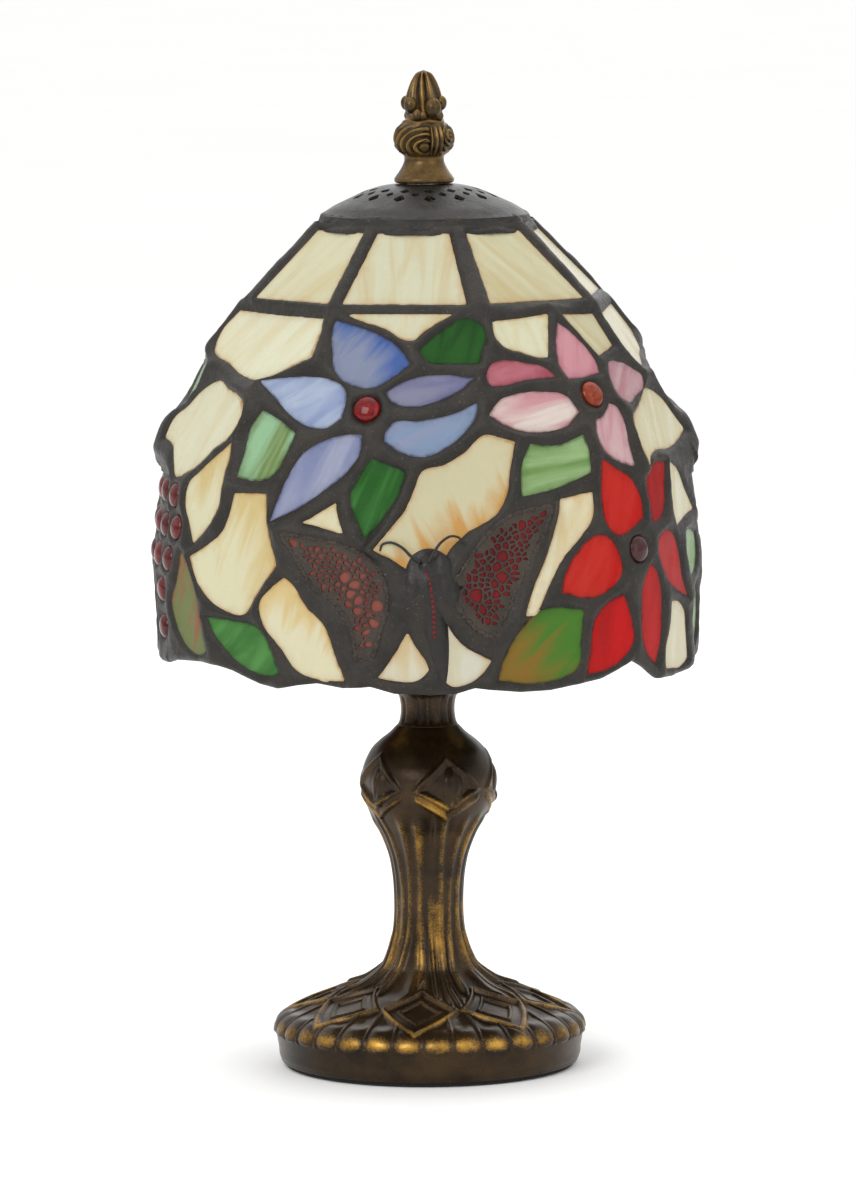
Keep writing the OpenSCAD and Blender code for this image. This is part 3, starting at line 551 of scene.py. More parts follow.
def shade_radius(azimuth, z):
    """Radius in mm of the middle of the shade's wall: round below, eight flat sides in the band."""
    dome = np.interp(z, *zip(*DOME_LINE))
    within = (azimuth - BAND_TURN) % BAND_STEP - BAND_STEP / 2
    band = np.interp(z, *zip(*BAND_LINE)) * math.cos(math.radians(BAND_STEP / 2)) / np.cos(np.radians(within))
    share = smoothstep(z, LOW, HIGH)
    return dome * (1 - share) + band * share


def shade_point(azimuth, z):
    outward = direction(azimuth) * (shade_radius(azimuth, z) * MM)[..., None]
    return outward + np.array([0, 0, 1.0]) * (z * MM)[..., None]


def shade_normal(azimuth, z):
    along = shade_point(azimuth + 0.6, z) - shade_point(azimuth - 0.6, z)
    up = shade_point(azimuth, z + 1.0) - shade_point(azimuth, z - 1.0)
    n = np.cross(along, up)
    return n / np.linalg.norm(n, axis=-1)[..., None]


def rim_height(azimuth):
    """Height in mm of the shade's uneven lower edge."""
    within = (azimuth + 90) % 180 - 90
    return np.interp(within, *zip(*RIM))


# ---- Shade: glass ----


def flat_sheet(loops, holes, fill):
    """Triangles of a flat sheet: outer loops, holes to leave out and loose points to fill it with."""
    points, edges = [], []
    for loop in [*loops, *holes]:
        first = len(points)
        points += [tuple(p) for p in loop]
        edges += [(first + i, first + (i + 1) % len(loop)) for i in range(len(loop))]
    points += [tuple(p) for p in fill]
    co, _, tris = delaunay_2d_cdt([Vector(p) for p in points], edges, [], 1, 1e-9)[:3]
    co = np.array([(p.x, p.y) for p in co])
    tris = np.array([t for t in tris if len(t) == 3])
    a, b, c = co[tris[:, 0]], co[tris[:, 1]], co[tris[:, 2]]
    area = (b[:, 0] - a[:, 0]) * (c[:, 1] - a[:, 1]) - (b[:, 1] - a[:, 1]) * (c[:, 0] - a[:, 0])
    tris[area < 0] = tris[area < 0][:, ::-1]
    tris = tris[np.abs(area) > 1e-13]
    middle = co[tris].mean(1)
    for hole in holes:
        low, high = hole.min(0), hole.max(0)
        near = ((middle > low) & (middle < high)).all(1)
        inside = np.zeros(len(middle), bool)
        inside[near] = signed_distance(middle[near], hole) < 0
        tris, middle = tris[~inside], middle[~inside]
    co, tris, _ = without_loose(co, tris)
    return co, tris


def open_edges(tris):
    """The directed edges along a sheet's boundary."""
    seen = {}
    for t in tris:
        for a, b in ((t[0], t[1]), (t[1], t[2]), (t[2], t[0])):
            if seen.pop((b, a), None) is None:
                seen[(a, b)] = True
    return list(seen)


def thick_sheet(co, tris, top, bottom):
    """A closed solid from a flat sheet and the heights of its two faces."""
    n = len(co)
    verts = np.concatenate([np.column_stack([co, top]), np.column_stack([co, bottom])])
    faces = [tuple(t) for t in tris] + [tuple(n + t[::-1]) for t in tris]
    faces += [(b, a, n + a, n + b) for a, b in open_edges(tris)]
    return verts, faces


def filling(loop, spacing, margin):
    """Points on a triangular grid inside a loop, clear of its edge."""
    low, high = loop.min(0), loop.max(0)
    rows = np.arange(low[1], high[1], spacing * 0.866)
    points = [
        (x, y) for i, y in enumerate(rows)
        for x in np.arange(low[0] + (i % 2) * spacing / 2, high[0], spacing)
    ]
    points = np.array(points).reshape(-1, 2)
    return points[signed_distance(points, loop) < -margin] if len(points) else points


def inwards(loop):
    """Directions into a closed outline at its points."""
    along = np.roll(loop, -1, 0) - np.roll(loop, 1, 0)
    along /= np.maximum(np.linalg.norm(along, axis=1), 1e-12)[:, None]
    area = (loop[:, 0] * np.roll(loop[:, 1], -1) - loop[:, 1] * np.roll(loop[:, 0], -1)).sum()
    return np.column_stack([-along[:, 1], along[:, 0]]) * (1 if area > 0 else -1)


def inset(loop, distance):
    """The loop's points moved inwards, leaving out those that come too near another side."""
    moved = loop + inwards(loop) * distance
    return moved[signed_distance(moved, loop) < -0.8 * distance]


def widened(loop, distance):
    return loop - inwards(loop) * distance


def pane_solid(pane, seed):
    """A pane's solid, slightly crowned and wavy as rolled glass is, and its flat coordinates.

    It runs on a little under the solder.
    """
    loop = widened(pane.loop, 0.5 * MM)
    fill = [inset(loop, 0.7 * MM), inset(loop, 1.6 * MM), filling(loop, 2.6 * MM, 2.6 * MM)]
    co, tris = flat_sheet([loop], [], np.concatenate([f.reshape(-1, 2) for f in fill]))
    depth = -signed_distance(co, loop)
    wave = ripple(co / MM * 0.09, seed * 7.3)
    half = GLASS_T / 2 * MM
    top = half + 0.16 * MM * wave * smoothstep(depth, 0, 3 * MM)
    top -= 0.35 * MM * (1 - smoothstep(depth, 0, 0.8 * MM))
    verts, faces = thick_sheet(co, tris, top, -half + 0.1 * MM * wave)
    return pane.plane.world(verts), faces, np.concatenate([co, co]), np.concatenate([depth, depth])


# How much of a colour seen in daylight the glass keeps under the bright studio light
GLASS_DIM = 0.86


class Look:
    """Colours of the glass at one place on the front: a body, a second colour stirred into it and an edge.

    angle is the streaks' direction in the pane, grade how far the second colour gathers at the top, and
    amount how much more of it there is.
    """

    def __init__(self, place, body, second, angle=80, grade=0.0, edge=(58, 50, 40), amount=0.0):
        self.place = np.array(place, float)
        self.body, self.second, self.edge = (np.multiply(rgb(*c), GLASS_DIM) for c in (body, second, edge))
        self.angle, self.grade, self.amount = angle, grade, amount


def nearest_look(looks, centre, back):
    """The look whose place on the front is nearest to a pane's centre."""
    azimuth = (azimuth_of(centre) + (180 if back else 0) + 180) % 360 - 180
    here = np.array([azimuth * 1.7, centre[2] / MM])
    return min(looks, key=lambda look: np.linalg.norm(look.place * [1.7, 1] - here))


def glass_piece(node, panes, looks, material, slot):
    """All of a CAD node's panes as one piece."""
    back = node.endswith("back")
    parts = Parts()
    values = {name: [] for name in ("tint", "streak", "edge", "grain", "near_solder", "grade")}
    for i, pane in enumerate(panes):
        look = nearest_look(looks, pane.plane.centre, back)
        seed = 3 * i + (40 if back else 0)
        points, solid, flat, depth = pane_solid(pane, seed)
        parts.add(points, solid)
        turn = math.radians(look.angle + 8 * math.sin(seed * 2.1))
        along = flat @ np.array([math.cos(turn), math.sin(turn)])
        across = flat @ np.array([-math.sin(turn), math.cos(turn)])
        upward = along / np.abs(along).max()
        values["grain"].append(np.column_stack([along * 18, across * 95, np.full(len(flat), seed * 3.7)]))
        values["grade"].append(look.grade * upward + look.amount)
        values["near_solder"].append(1 - smoothstep(depth, 0.9 * MM, 1.9 * MM))
        for name, colour in (("tint", look.body), ("streak", look.second), ("edge", look.edge)):
            values[name].append(np.tile(colour, (len(points), 1)))
    piece = new_piece(node + "_glass", *parts.joined(), "shade", slot, material, [node], smooth=False)
    for name in ("tint", "streak", "edge"):
        point_colour(piece, name, np.concatenate(values[name]))
    point_vector(piece, "grain", np.concatenate(values["grain"]))
    for name in ("near_solder", "grade"):
        point_float(piece, name, np.concatenate(values[name]))
    return piece


# Looks of each colour of glass, placed by azimuth and height on the front
AMBER = (164, 122, 66)
CREAM = (205, 201, 170)
CREAM_LOOKS = [
    Look((-60, 300), (198, 194, 163), (192, 180, 140), 66, edge=AMBER),
    Look((-6, 305), (192, 190, 163), (186, 172, 134), 92, edge=AMBER),
    Look((40, 305), (194, 190, 158), (186, 172, 130), 118, edge=AMBER),
    Look((85, 305), CREAM, (198, 186, 146), 100, edge=AMBER),
    Look((-54, 280), (208, 207, 180), (204, 196, 162), 60, edge=AMBER),
    Look((29, 281), (203, 202, 174), (198, 190, 152), 95, edge=AMBER),
    Look((5, 222), (190, 183, 150), (186, 142, 80), 112, -0.36, AMBER, -0.1),
    Look((-46, 200), (206, 201, 168), (198, 178, 126), 70, 0.3, AMBER),
    Look((-28, 176), (205, 199, 168), (200, 178, 126), 70, 0.4, AMBER),
    Look((-21, 218), (204, 201, 172), (200, 190, 154), 60, edge=AMBER),
    Look((-4, 166), (196, 192, 170), (192, 174, 136), 95, 0.2, AMBER),
    Look((7, 168), (196, 194, 176), (190, 182, 152), 80, edge=AMBER),
    Look((29, 200), (212, 206, 176), (204, 186, 144), 75, edge=AMBER),
    Look((67, 168), (210, 207, 182), (202, 192, 156), 85, edge=AMBER),
    Look((73, 220), (214, 211, 184), (204, 194, 156), 70, edge=AMBER),
]
GLASS_LOOKS = {
    "band_panels": CREAM_LOOKS,
    "cream_glass_upper": CREAM_LOOKS,
    "cream_glass_lower": CREAM_LOOKS,
    "blue_petals": [
        Look((-16, 275), (120, 128, 150), (64, 90, 148), 55, 0.3, (40, 44, 70)),
        Look((-32, 259), (158, 170, 190), (130, 142, 176), 35, edge=(50, 54, 80)),
        Look((-25, 232), (144, 148, 170), (118, 126, 158), 62, edge=(48, 50, 78)),
        Look((0, 264), (122, 122, 144), (100, 102, 138), 20, edge=(44, 44, 66)),
        Look((2, 248), (116, 136, 162), (132, 136, 160), 30, edge=(42, 48, 74)),
    ],
    "pink_petals": [
        Look((25, 270), (172, 102, 112), (154, 68, 82), 20, edge=(80, 36, 40)),
        Look((27, 255), (206, 193, 184), (190, 138, 144), 10, edge=(110, 60, 64)),
        Look((44, 276), (194, 138, 146), (180, 112, 124), 65, edge=(96, 50, 54)),
        Look((60, 263), (184, 152, 154), (166, 106, 116), 35, edge=(90, 48, 50)),
        Look((48, 246), (198, 164, 166), (182, 128, 136), 75, edge=(96, 52, 56)),
    ],
    "red_petals": [
        Look((37, 198), (184, 46, 36), (178, 20, 16), 60, edge=(70, 14, 10)),
        Look((47, 222), (186, 40, 32), (182, 14, 12), 75, edge=(70, 14, 10)),
        Look((43, 172), (184, 6, 6), (164, 2, 2), 80, edge=(70, 8, 8)),
        Look((56, 180), (176, 5, 5), (158, 2, 2), 85, edge=(70, 8, 8)),
        Look((64, 195), (178, 5, 5), (160, 2, 2), 80, edge=(70, 8, 8)),
        Look((60, 222), (160, 10, 8), (146, 4, 4), 85, edge=(70, 8, 8)),
    ],
    "leaves": [
        Look((8, 281), (34, 80, 28), (22, 58, 20), 70, edge=(20, 34, 16)),
        Look((-10, 225), (36, 84, 32), (66, 122, 60), 66, edge=(20, 34, 16)),
        Look((-39, 242), (108, 128, 74), (138, 176, 138), 62, amount=0.04, edge=(40, 54, 32)),
        Look((-42, 169), (52, 104, 44), (78, 132, 66), 40, edge=(28, 44, 20)),
        Look((29, 237), (104, 138, 78), (142, 170, 118), 8, edge=(38, 52, 28)),
        Look((26, 170), (66, 112, 36), (124, 96, 34), 42, -0.25, (40, 46, 22)),
        Look((77, 198), (126, 156, 100), (96, 132, 74), 60, edge=(40, 54, 32)),
        Look((80, 172), (112, 148, 90), (84, 122, 62), 70, edge=(40, 54, 32)),
        Look((92, 261), (104, 142, 84), (70, 112, 54), 10, edge=(36, 50, 28)),
    ],
    "streaked_leaf": [
        Look((-60, 182), (98, 108, 52), (150, 48, 34), 62, 0.1, amount=-0.06, edge=(46, 44, 26)),
    ],
    "wing_glass": [
        Look((-20, 192), (134, 76, 66), (112, 56, 48), 60, edge=(60, 32, 26)),
        Look((15, 195), (116, 26, 26), (94, 18, 20), 60, edge=(48, 16, 16)),
    ],
}
SLOT_OF_GLASS = {
    "band_panels": "cream_glass", "cream_glass_upper": "cream_glass", "cream_glass_lower": "cream_glass",
    "blue_petals": "blue_glass", "pink_petals": "pink_glass", "red_petals": "red_glass",
    "leaves": "green_glass", "streaked_leaf": "streaked_glass", "wing_glass": "wing_glass",
}


def build_glass():
    material = {slot: glass_material(slot) for slot in sorted(set(SLOT_OF_GLASS.values()))}
    panes = {}
    for group, slot in SLOT_OF_GLASS.items():
        for node in [group] if group == "band_panels" else [f"{group}_{side}" for side in SIDES]:
            panes[node] = read_panes(node)
            glass_piece(node, panes[node], GLASS_LOOKS[group], material[slot], slot)
    return panes


def gem_piece(node, gems, looks, material, slot):
    """Domed cabochons: a low round wall and a dome of rings."""
    around, rings = 40, 9
    verts, faces, tint, streak = [], [], [], []
    for i, gem in enumerate(gems):
        colour, second = looks[i % len(looks)]
        rise = 0.52 * gem.radius
        first = len(verts)
        low = -GLASS_T / 2 * MM
        levels = [(gem.radius * 0.97, low), (gem.radius, GLASS_T / 2 * MM)]
        for k in range(1, rings):
            a = k / rings * math.pi / 2
            levels.append((gem.radius * math.cos(a), GLASS_T / 2 * MM + rise * math.sin(a)))
        flat = [(r * math.cos(t), r * math.sin(t), h) for r, h in levels
                for t in np.linspace(0, 2 * math.pi, around, endpoint=False)]
        flat += [(0, 0, GLASS_T / 2 * MM + rise), (0, 0, low)]
        verts += list(gem.plane.world(np.array(flat)))
        faces += [tuple(first + q) for q in grid_faces(len(levels), around)]
        top = first + (len(levels) - 1) * around
        crown = first + len(levels) * around
        for j in range(around):
            k = (j + 1) % around
            faces += [(top + j, top + k, crown), (first + k, first + j, crown + 1)]
        tint += [rgb(*colour)] * len(flat)
        streak += [rgb(*second)] * len(flat)
    piece = new_piece(node + "_stones", verts, faces, "shade", slot, material, [node])
    point_colour(piece, "tint", np.array(tint))
    point_colour(piece, "streak", np.array(streak))
    return piece


JEWEL_COLOURS = [((84, 4, 6), (124, 10, 8)), ((112, 32, 14), (136, 58, 24)), ((66, 32, 32), (46, 18, 18))]
GRAPE_COLOURS = [((84, 26, 24), (50, 12, 14)), ((74, 20, 20), (104, 38, 32))]


def build_gems():
    jewels, grapes = jewel_material("jewel_glass"), jewel_material("grape_glass")
    gems = {}
    for side in SIDES:
        for group, looks, material, slot in (
            ("flower_jewels", JEWEL_COLOURS, jewels, "jewel_glass"),
            ("grapes", GRAPE_COLOURS, grapes, "grape_glass"),
        ):
            node = f"{group}_{side}"
            gems[node] = read_gems(node)
            for gem in gems[node]:
                gem.plane.centre = gem.plane.centre + gem.plane.z * (GLASS_T / 2 * MM)
            gem_piece(node, gems[node], looks, material, slot)
    return gems


# ---- Shade: solder ----

COLUMNS, ROWS = 760, 214
# No pane reaches further than this from its middle
LARGEST_GLASS = 48 * MM


def wall_offsets(points, normals, shapes):
    """At each point of the wall: distance to the nearest glass, and how far the glass lies off the wall."""
    nearest = np.full(len(points), 1.0)
    total, weight = np.zeros(len(points)), np.full(len(points), 1e-9)
    for shape in shapes:
        idx = np.nonzero(np.linalg.norm(points - shape.plane.centre, axis=1) < LARGEST_GLASS + REACH)[0]
        d, off = shape.distance(points[idx])
        ok = d < REACH
        idx, d, off = idx[ok], d[ok], off[ok]
        facing = np.maximum(normals[idx] @ shape.plane.z, 0.5)
        w = 1 / (np.maximum(d, 0) / MM + 0.7) ** 3
        total[idx] += w * (-off / facing)
        weight[idx] += w
        nearest[idx] = np.minimum(nearest[idx], d)
    return nearest, total / weight


def bead(d, over=0.15 * MM, shoulder=2.2 * MM, height=1.05 * MM):
    """Height of the solder above the glass at a distance from the glass's edge."""
    t = (d + over) / shoulder
    rounded = 1 - (1 - np.clip(t, 0, 1)) ** 2
    return np.where(t < 0, 2 * t * height, rounded * height)


def build_solder(shapes, material):
    azimuths = np.arange(COLUMNS) * 360 / COLUMNS
    share = np.linspace(0, 1, ROWS)
    heights = FOOT_Z + (TOP_Z - FOOT_Z) * share
    az, z = np.meshgrid(azimuths, heights)
    lift = rim_height(az) + 1.9 - FOOT_Z
    z = z + lift * (1 - smoothstep(z, FOOT_Z, 182))
    points, normals = shade_point(az, z), shade_normal(az, z)
    flat_points, flat_normals = points.reshape(-1, 3), normals.reshape(-1, 3)
    near, base = wall_offsets(flat_points, flat_normals, shapes)
    wobble = np.array([noise.noise(Vector(p) * 420) for p in flat_points])
    lumps = np.array([noise.fractal(Vector(p) * 130, 1.0, 2.0, 2) for p in flat_points])
    d = near + 0.3 * MM * wobble
    outer = base + GLASS_T / 2 * MM + bead(d) * (1 + 0.28 * lumps) + 0.14 * MM * lumps
    inner = base - GLASS_T / 2 * MM - bead(d) * 0.8
    outer, inner = outer.reshape(ROWS, COLUMNS), inner.reshape(ROWS, COLUMNS)
    solid = (near > -1.5 * MM).reshape(ROWS, COLUMNS)
    bends = 7
    grid, keep = [], []
    for r in range(ROWS - 1, -1, -2):
        grid.append(points[r] + normals[r] * inner[r][:, None])
        keep.append(solid[r])
    middle, half = (outer[0] + inner[0]) / 2, (outer[0] - inner[0]) / 2
    for k in range(1, bends):
        a = math.pi * k / bends
        across = normals[0] * (middle - half * math.cos(a))[:, None]
        grid.append(points[0] + across - np.array([0, 0, 2.1 * MM * math.sin(a)]))
        keep.append(np.ones(COLUMNS, bool))
    for r in range(ROWS):
        grid.append(points[r] + normals[r] * outer[r][:, None])
        keep.append(solid[r])
    verts = np.concatenate(grid)
    faces = grid_faces(len(grid), COLUMNS, keep=np.array(keep))
    verts, faces, _ = without_loose(verts, faces)
    return new_piece("leaded_lattice", verts, faces, "shade", "dark_solder", material, ["solder_lattice"])


# ---- Turned and cast metal ----


def curve_through(points, step):
    """Points every step along a smooth curve through [radius, height] points, all in mm."""
    points = np.array(points, float)
    end = curve_distances(points)[-1]
    return curve_at(points, np.linspace(0, end, max(2, int(round(end / step)) + 1)))


def straight_through(points, step):
    """Points along straight lines between [radius, height] points, close enough to carry a relief."""
    p = [np.array(q, float) for q in points]
    out = [p[0][None]]
    for a, b in zip(p, p[1:]):
        steps = max(1, int(round(np.linalg.norm(b - a) / step)))
        out.append(a + (b - a) * (np.arange(1, steps + 1) / steps)[:, None])
    return np.concatenate(out)


def line_normals(line):
    """Outward normals of a line of [radius, height] points that runs upwards on the outside."""
    along = np.gradient(line, axis=0)
    along /= np.maximum(np.linalg.norm(along, axis=1), 1e-9)[:, None]
    return np.column_stack([along[:, 1], -along[:, 0]])


def turned(line, columns, lift=None, open_ends=True):
    """A line of [radius, height] mm turned about the lamp's middle, moved out by lift mm.

    With open_ends False the line's last row joins its first.
    """
    azimuths = np.arange(columns) * 360 / columns
    out = line_normals(line)
    lift = np.zeros((len(line), columns)) if lift is None else lift
    radius = line[:, 0][:, None] + out[:, 0][:, None] * lift
    height = line[:, 1][:, None] + out[:, 1][:, None] * lift
    spokes = direction(azimuths)
    verts = spokes[None] * radius[..., None] * MM
    verts[..., 2] = height * MM
    faces = grid_faces(len(line), columns)
    if not open_ends:
        faces = np.concatenate([faces, seam_faces(len(line), columns)])
    return verts.reshape(-1, 3), faces


def azimuth_rows(line, columns):
    """The azimuth of every point of a turned line, row by row."""
    return np.repeat((np.arange(columns) * 360 / columns)[None], len(line), 0)


def ridge(distance, width):
    return np.exp(-((distance / width) ** 2))


def from_nearest(azimuth, first, count):
    """Degrees from the nearest of count evenly spaced azimuths."""
    step = 360 / count
    return (azimuth - first + step / 2) % step - step / 2


# Radius and height in mm of the casting's outside, and of its hollow from the top round to the foot
CAST_LINE = [
    (56.5, 1.5), (57.6, 3.5), (58, 7), (58.5, 10), (58.9, 13), (58.3, 16), (55.2, 19.1), (49.3, 22.2),
    (41.3, 25.3), (33.6, 28.4), (25.2, 31.5), (20.8, 34.6), (17.8, 37.6), (16.2, 41), (15.1, 44),
    (14.3, 47), (13.5, 50), (12.9, 56), (12.8, 63), (13.2, 71), (13.7, 75), (14.7, 80), (16, 84),
    (18.5, 90), (21.2, 94.5), (23.8, 99), (25.3, 103), (25.7, 107), (25.5, 112), (24.7, 115),
    (23.4, 118), (21.7, 121), (18.8, 124), (15, 127), (11.6, 130),
]
CAST_HOLLOW = [
    (11.6, 130), (4.9, 130), (4.9, 124), (10, 124), (17, 121), (21.5, 114), (22.4, 108), (22, 103),
    (18, 96), (13, 84), (10.3, 73), (9.6, 62), (10, 52), (12, 44), (14, 38), (4.9, 38), (4.9, 24),
    (30, 24), (38, 23), (46, 20), (53, 16.5), (55.3, 13), (54.8, 8), (53.5, 1.5), (56.5, 1.5),
]
# The opening in the foot's rear wall that the rubber bush sits in
BUSH_Z, BUSH_GAP_R = 8.5, 4.7
# Noses and lozenge frames round the foot, and motifs round the knop
LOBES, FRAMES, MOTIFS = 32, 8, 5
# Half the width of a lozenge frame in degrees
FRAME_HALF = 20.5


def frame_shape(az, r):
    """How far a place on the foot lies outside its lozenge frame: 0 on the frame's outline, in mm."""
    across = np.abs(from_nearest(az, -6, FRAMES)) / FRAME_HALF
    along = np.where(r > 39.5, (r - 39.5) / 15.5, (39.5 - r) / 14.5)
    return (across + along - 1) * 10.4


def lobe_relief(az, r, z):
    """Rounded noses round the foot's shoulder, with a thin rib between each two, out from the frames. The
    gold along each nose is a painted highlight, strongest on the noses facing the front; the ribs get a
    little rubbed gold.
    """
    across = from_nearest(az, 2.9, LOBES) / (180 / LOBES)
    outside = smoothstep(frame_shape(az, r), 0.2, 2.2) * smoothstep(r, 38, 41) * (z < 40)
    foot = smoothstep(z, 11.6, 13.2) * outside
    scallop = smoothstep(z, 11.8 + 1.6 * across**2, 13.2 + 1.6 * across**2)
    nose = (1 - np.abs(across) ** 2.4) * scallop * smoothstep(r, 48, 56) * outside
    rib = ridge((1 - np.abs(across)) * r * math.pi / LOBES, 0.6) * foot
    flute = ridge(across, 0.6) * foot * (1 - smoothstep(r, 48, 56))
    # Painted highlight: the gold band along each nose is strongest on the noses that face the front
    facing = 0.35 + 0.65 * ridge((az + 180) % 360 - 180, 75)
    gold = nose * ridge(z - 15.6, 2.0) * smoothstep(1 - np.abs(across), 0.0, 0.3) * facing + 0.12 * rib
    return 1.15 * nose + 0.7 * rib - 0.6 * flute, gold


def frame_relief(az, r, z):
    """Large lozenge frames round the foot, whose lower sides meet in a zig-zag, each with one inside it."""
    on_foot = smoothstep(r, 24, 27) * (z < 40) * smoothstep(z, 15.4, 17.6)
    off = frame_shape(az, r)
    inner = off + 4.7
    outline = ridge(off, 0.95) * on_foot
    lozenge = ridge(inner, 0.62) * on_foot
    lift = 1.15 * outline + 0.6 * lozenge - 0.45 * smoothstep(-off, 0.6, 1.8) * on_foot
    lift -= 0.5 * smoothstep(-inner, 0.4, 1.2) * on_foot
    low = smoothstep(r, 38, 44)
    return lift, (0.32 + 0.42 * low) * outline + 0.2 * lozenge


# Each rib of one fifth of the stem: degrees from the motif's middle at the waist and under the knop,
# height, width under the knop, width at the waist and how far gold is rubbed through
RIBS = [
    (-34, -30, 1.0, 1.9, 1.1, 0.62), (-15, -13, 0.6, 1.0, 1.0, 0.1), (4, -1, 0.8, 1.0, 1.1, 0.42),
    (19, 23, 0.9, 1.5, 1.0, 0.36),
]
# Short ribs that fan out over the foot between them: place in degrees and height
FAN = [(-29, 0.8), (-16, 0.9), (-4, 0.8), (9, 0.9), (20, 0.8), (33, 0.8)]


def rib_relief(az, r, z):
    """Long ribs that run up the stem from the foot, and part round the motifs of the knop."""
    whip = 7 * smoothstep(z, 62, 30) * np.sin(np.radians(az * MOTIFS - 60))
    across = from_nearest(az + whip, 18, MOTIFS)
    rise = smoothstep(z, 60, 96)
    on_stem = smoothstep(z, 24.5, 27) * (1 - smoothstep(z, 92, 99))
    on_stem *= np.where(z < 40, smoothstep(frame_shape(az, r), 0.6, 3.5), 1)
    lift, gold = np.zeros_like(az), np.zeros_like(az)
    for waist, knop, height, wide, narrow, rubbed in RIBS:
        for turn in (-72, 0, 72):
            d = (across + turn - (waist + (knop - waist) * rise)) * r * math.pi / 180
            width = narrow + (wide - narrow) * smoothstep(z, 72, 92) + 0.3 * smoothstep(r, 15, 24) * (z < 60)
            stripe = ridge(d, width) * on_stem
            lift += stripe * height
            gold += stripe * rubbed * (0.35 + 0.65 * smoothstep(z, 30, 44)) * (1 - 0.4 * ridge(z - 74, 9))
    for place, height in FAN:
        d = (across - place) * r * math.pi / 180
        stripe = ridge(d, 1.0) * on_stem * smoothstep(z, 60, 42)
        lift += stripe * height
        gold += 0.12 * stripe
    wide = smoothstep(across, -22, -19) * (1 - smoothstep(across, 0, 3))
    gold += 0.36 * wide * smoothstep(z, 34, 42) * (1 - smoothstep(z, 60, 68)) * on_stem
    return lift * (0.85 + 0.35 * smoothstep(r, 14, 24)), gold


def knop_relief(az, z):
    """Five pointed motifs round the knop: a lozenge with a second chevron under it and a leaf inside."""
    across = from_nearest(az, 18, MOTIFS)
    on_knop = smoothstep(z, 88, 93)
    above = np.clip((z - 107.5) / 12.5, 0, 9) ** 1.15
    below = np.clip((107.5 - z) / 7, 0, 9) ** 0.92
    off = (np.abs(across) / 28.5 + np.where(z > 107.5, above, below) - 1) * np.where(z > 107.5, 8.8, 6.0)
    outline = ridge(off, 1.0) * (1 - 0.55 * smoothstep(z, 109, 119))
    chevron = ridge(off - 3.1, 0.8) * (1 - smoothstep(z, 104, 108)) * (1 - smoothstep(np.abs(across), 27, 33))
    recess = smoothstep(-off, 0.3, 2.6)
    leaf = ((across - 4) * 25 * math.pi / 180 / 4.1) ** 2 + ((z - 108.5) / 8.6) ** 2
    crease = ridge((across - 5) * 25 * math.pi / 180 - 0.22 * (z - 108) + 0.02 * (z - 108) ** 2, 0.65)
    lens = np.clip(1 - leaf, 0, 1) ** 0.75
    lift = on_knop * (0.9 * outline + 0.8 * chevron - 0.75 * recess + 1.6 * lens - 0.5 * lens * crease)
    low = 1 - smoothstep(z, 102, 112)
    side = np.where(across < 0, 1.0, 0.5)
    edges = (0.55 * outline + 0.6 * chevron) * (0.2 + 0.8 * low) * side
    between = 0.35 * ridge(off - 1.6, 1.2) * low * smoothstep(-across, 0, 4) * smoothstep(107.5 - z, 0, 3)
    return lift, on_knop * (edges + between)


def build_lamp_body(material):
    columns = 900
    outer = curve_through(CAST_LINE, 0.42)
    az, r = np.meshgrid(np.arange(columns) * 360 / columns, outer[:, 0])
    z = np.repeat(outer[:, 1][:, None], columns, 1)
    lift, gold = np.zeros_like(az), np.zeros_like(az)
    reliefs = (lobe_relief(az, r, z), frame_relief(az, r, z), rib_relief(az, r, z), knop_relief(az, z))
    # gold gathers the rubbed gold of every relief and the painted highlight on the front noses
    for more, rubbed in reliefs:
        lift, gold = lift + more, gold + rubbed
    calm = smoothstep(z, 1.5, 3) * (1 - smoothstep(z, 127, 130))
    lift -= 0.3
    hollow = straight_through(CAST_HOLLOW, 6)[1:-1]
    line = np.concatenate([outer, hollow])
    full = np.zeros((len(line), columns))
    full[:len(outer)] = lift * calm
    verts, _ = turned(line, columns, full)
    beside_bush = np.hypot(verts[:, 0], verts[:, 2] - BUSH_Z * MM) < BUSH_GAP_R * MM
    keep = ~(beside_bush & (verts[:, 1] > 45 * MM))
    faces = grid_faces(len(line), columns)
    whole = keep[faces].all(1)
    seam = seam_faces(len(line), columns)
    verts, faces, used = without_loose(verts, np.concatenate([faces[whole], seam]))
    piece = new_piece("cast_body", verts, faces, "base", "antique_bronze", material, ["lamp_body"])
    rub = np.zeros((len(line), columns))
    rub[:len(outer)] = gold
    point_float(piece, "rub", rub.reshape(-1)[used])
    return piece


# Radius and height in mm of the tube and of the flared collar on it
NECK_LINE = [(11.5, 130), (10.9, 131.2), (10.5, 133), (10.5, 139), (11, 141), (12.4, 143), (13, 143.8)]
COLLAR_LINE = [(13, 143.8), (13.8, 144.1), (14.6, 144.5), (14.75, 144.75), (14.6, 144.95), (14.3, 145)]
# Each dent down the neck: azimuth, width in degrees and depth in mm
NECK_DENTS = [(-24, 5, 0.8), (-8, 3.5, 0.75), (6, 3, 0.65), (30, 4, 0.5), (52, 5, 0.6), (100, 5, 0.6),
              (150, 6, 0.8), (200, 4, 0.65), (225, 3.5, 0.5), (260, 5, 0.7), (300, 5, 0.6)]


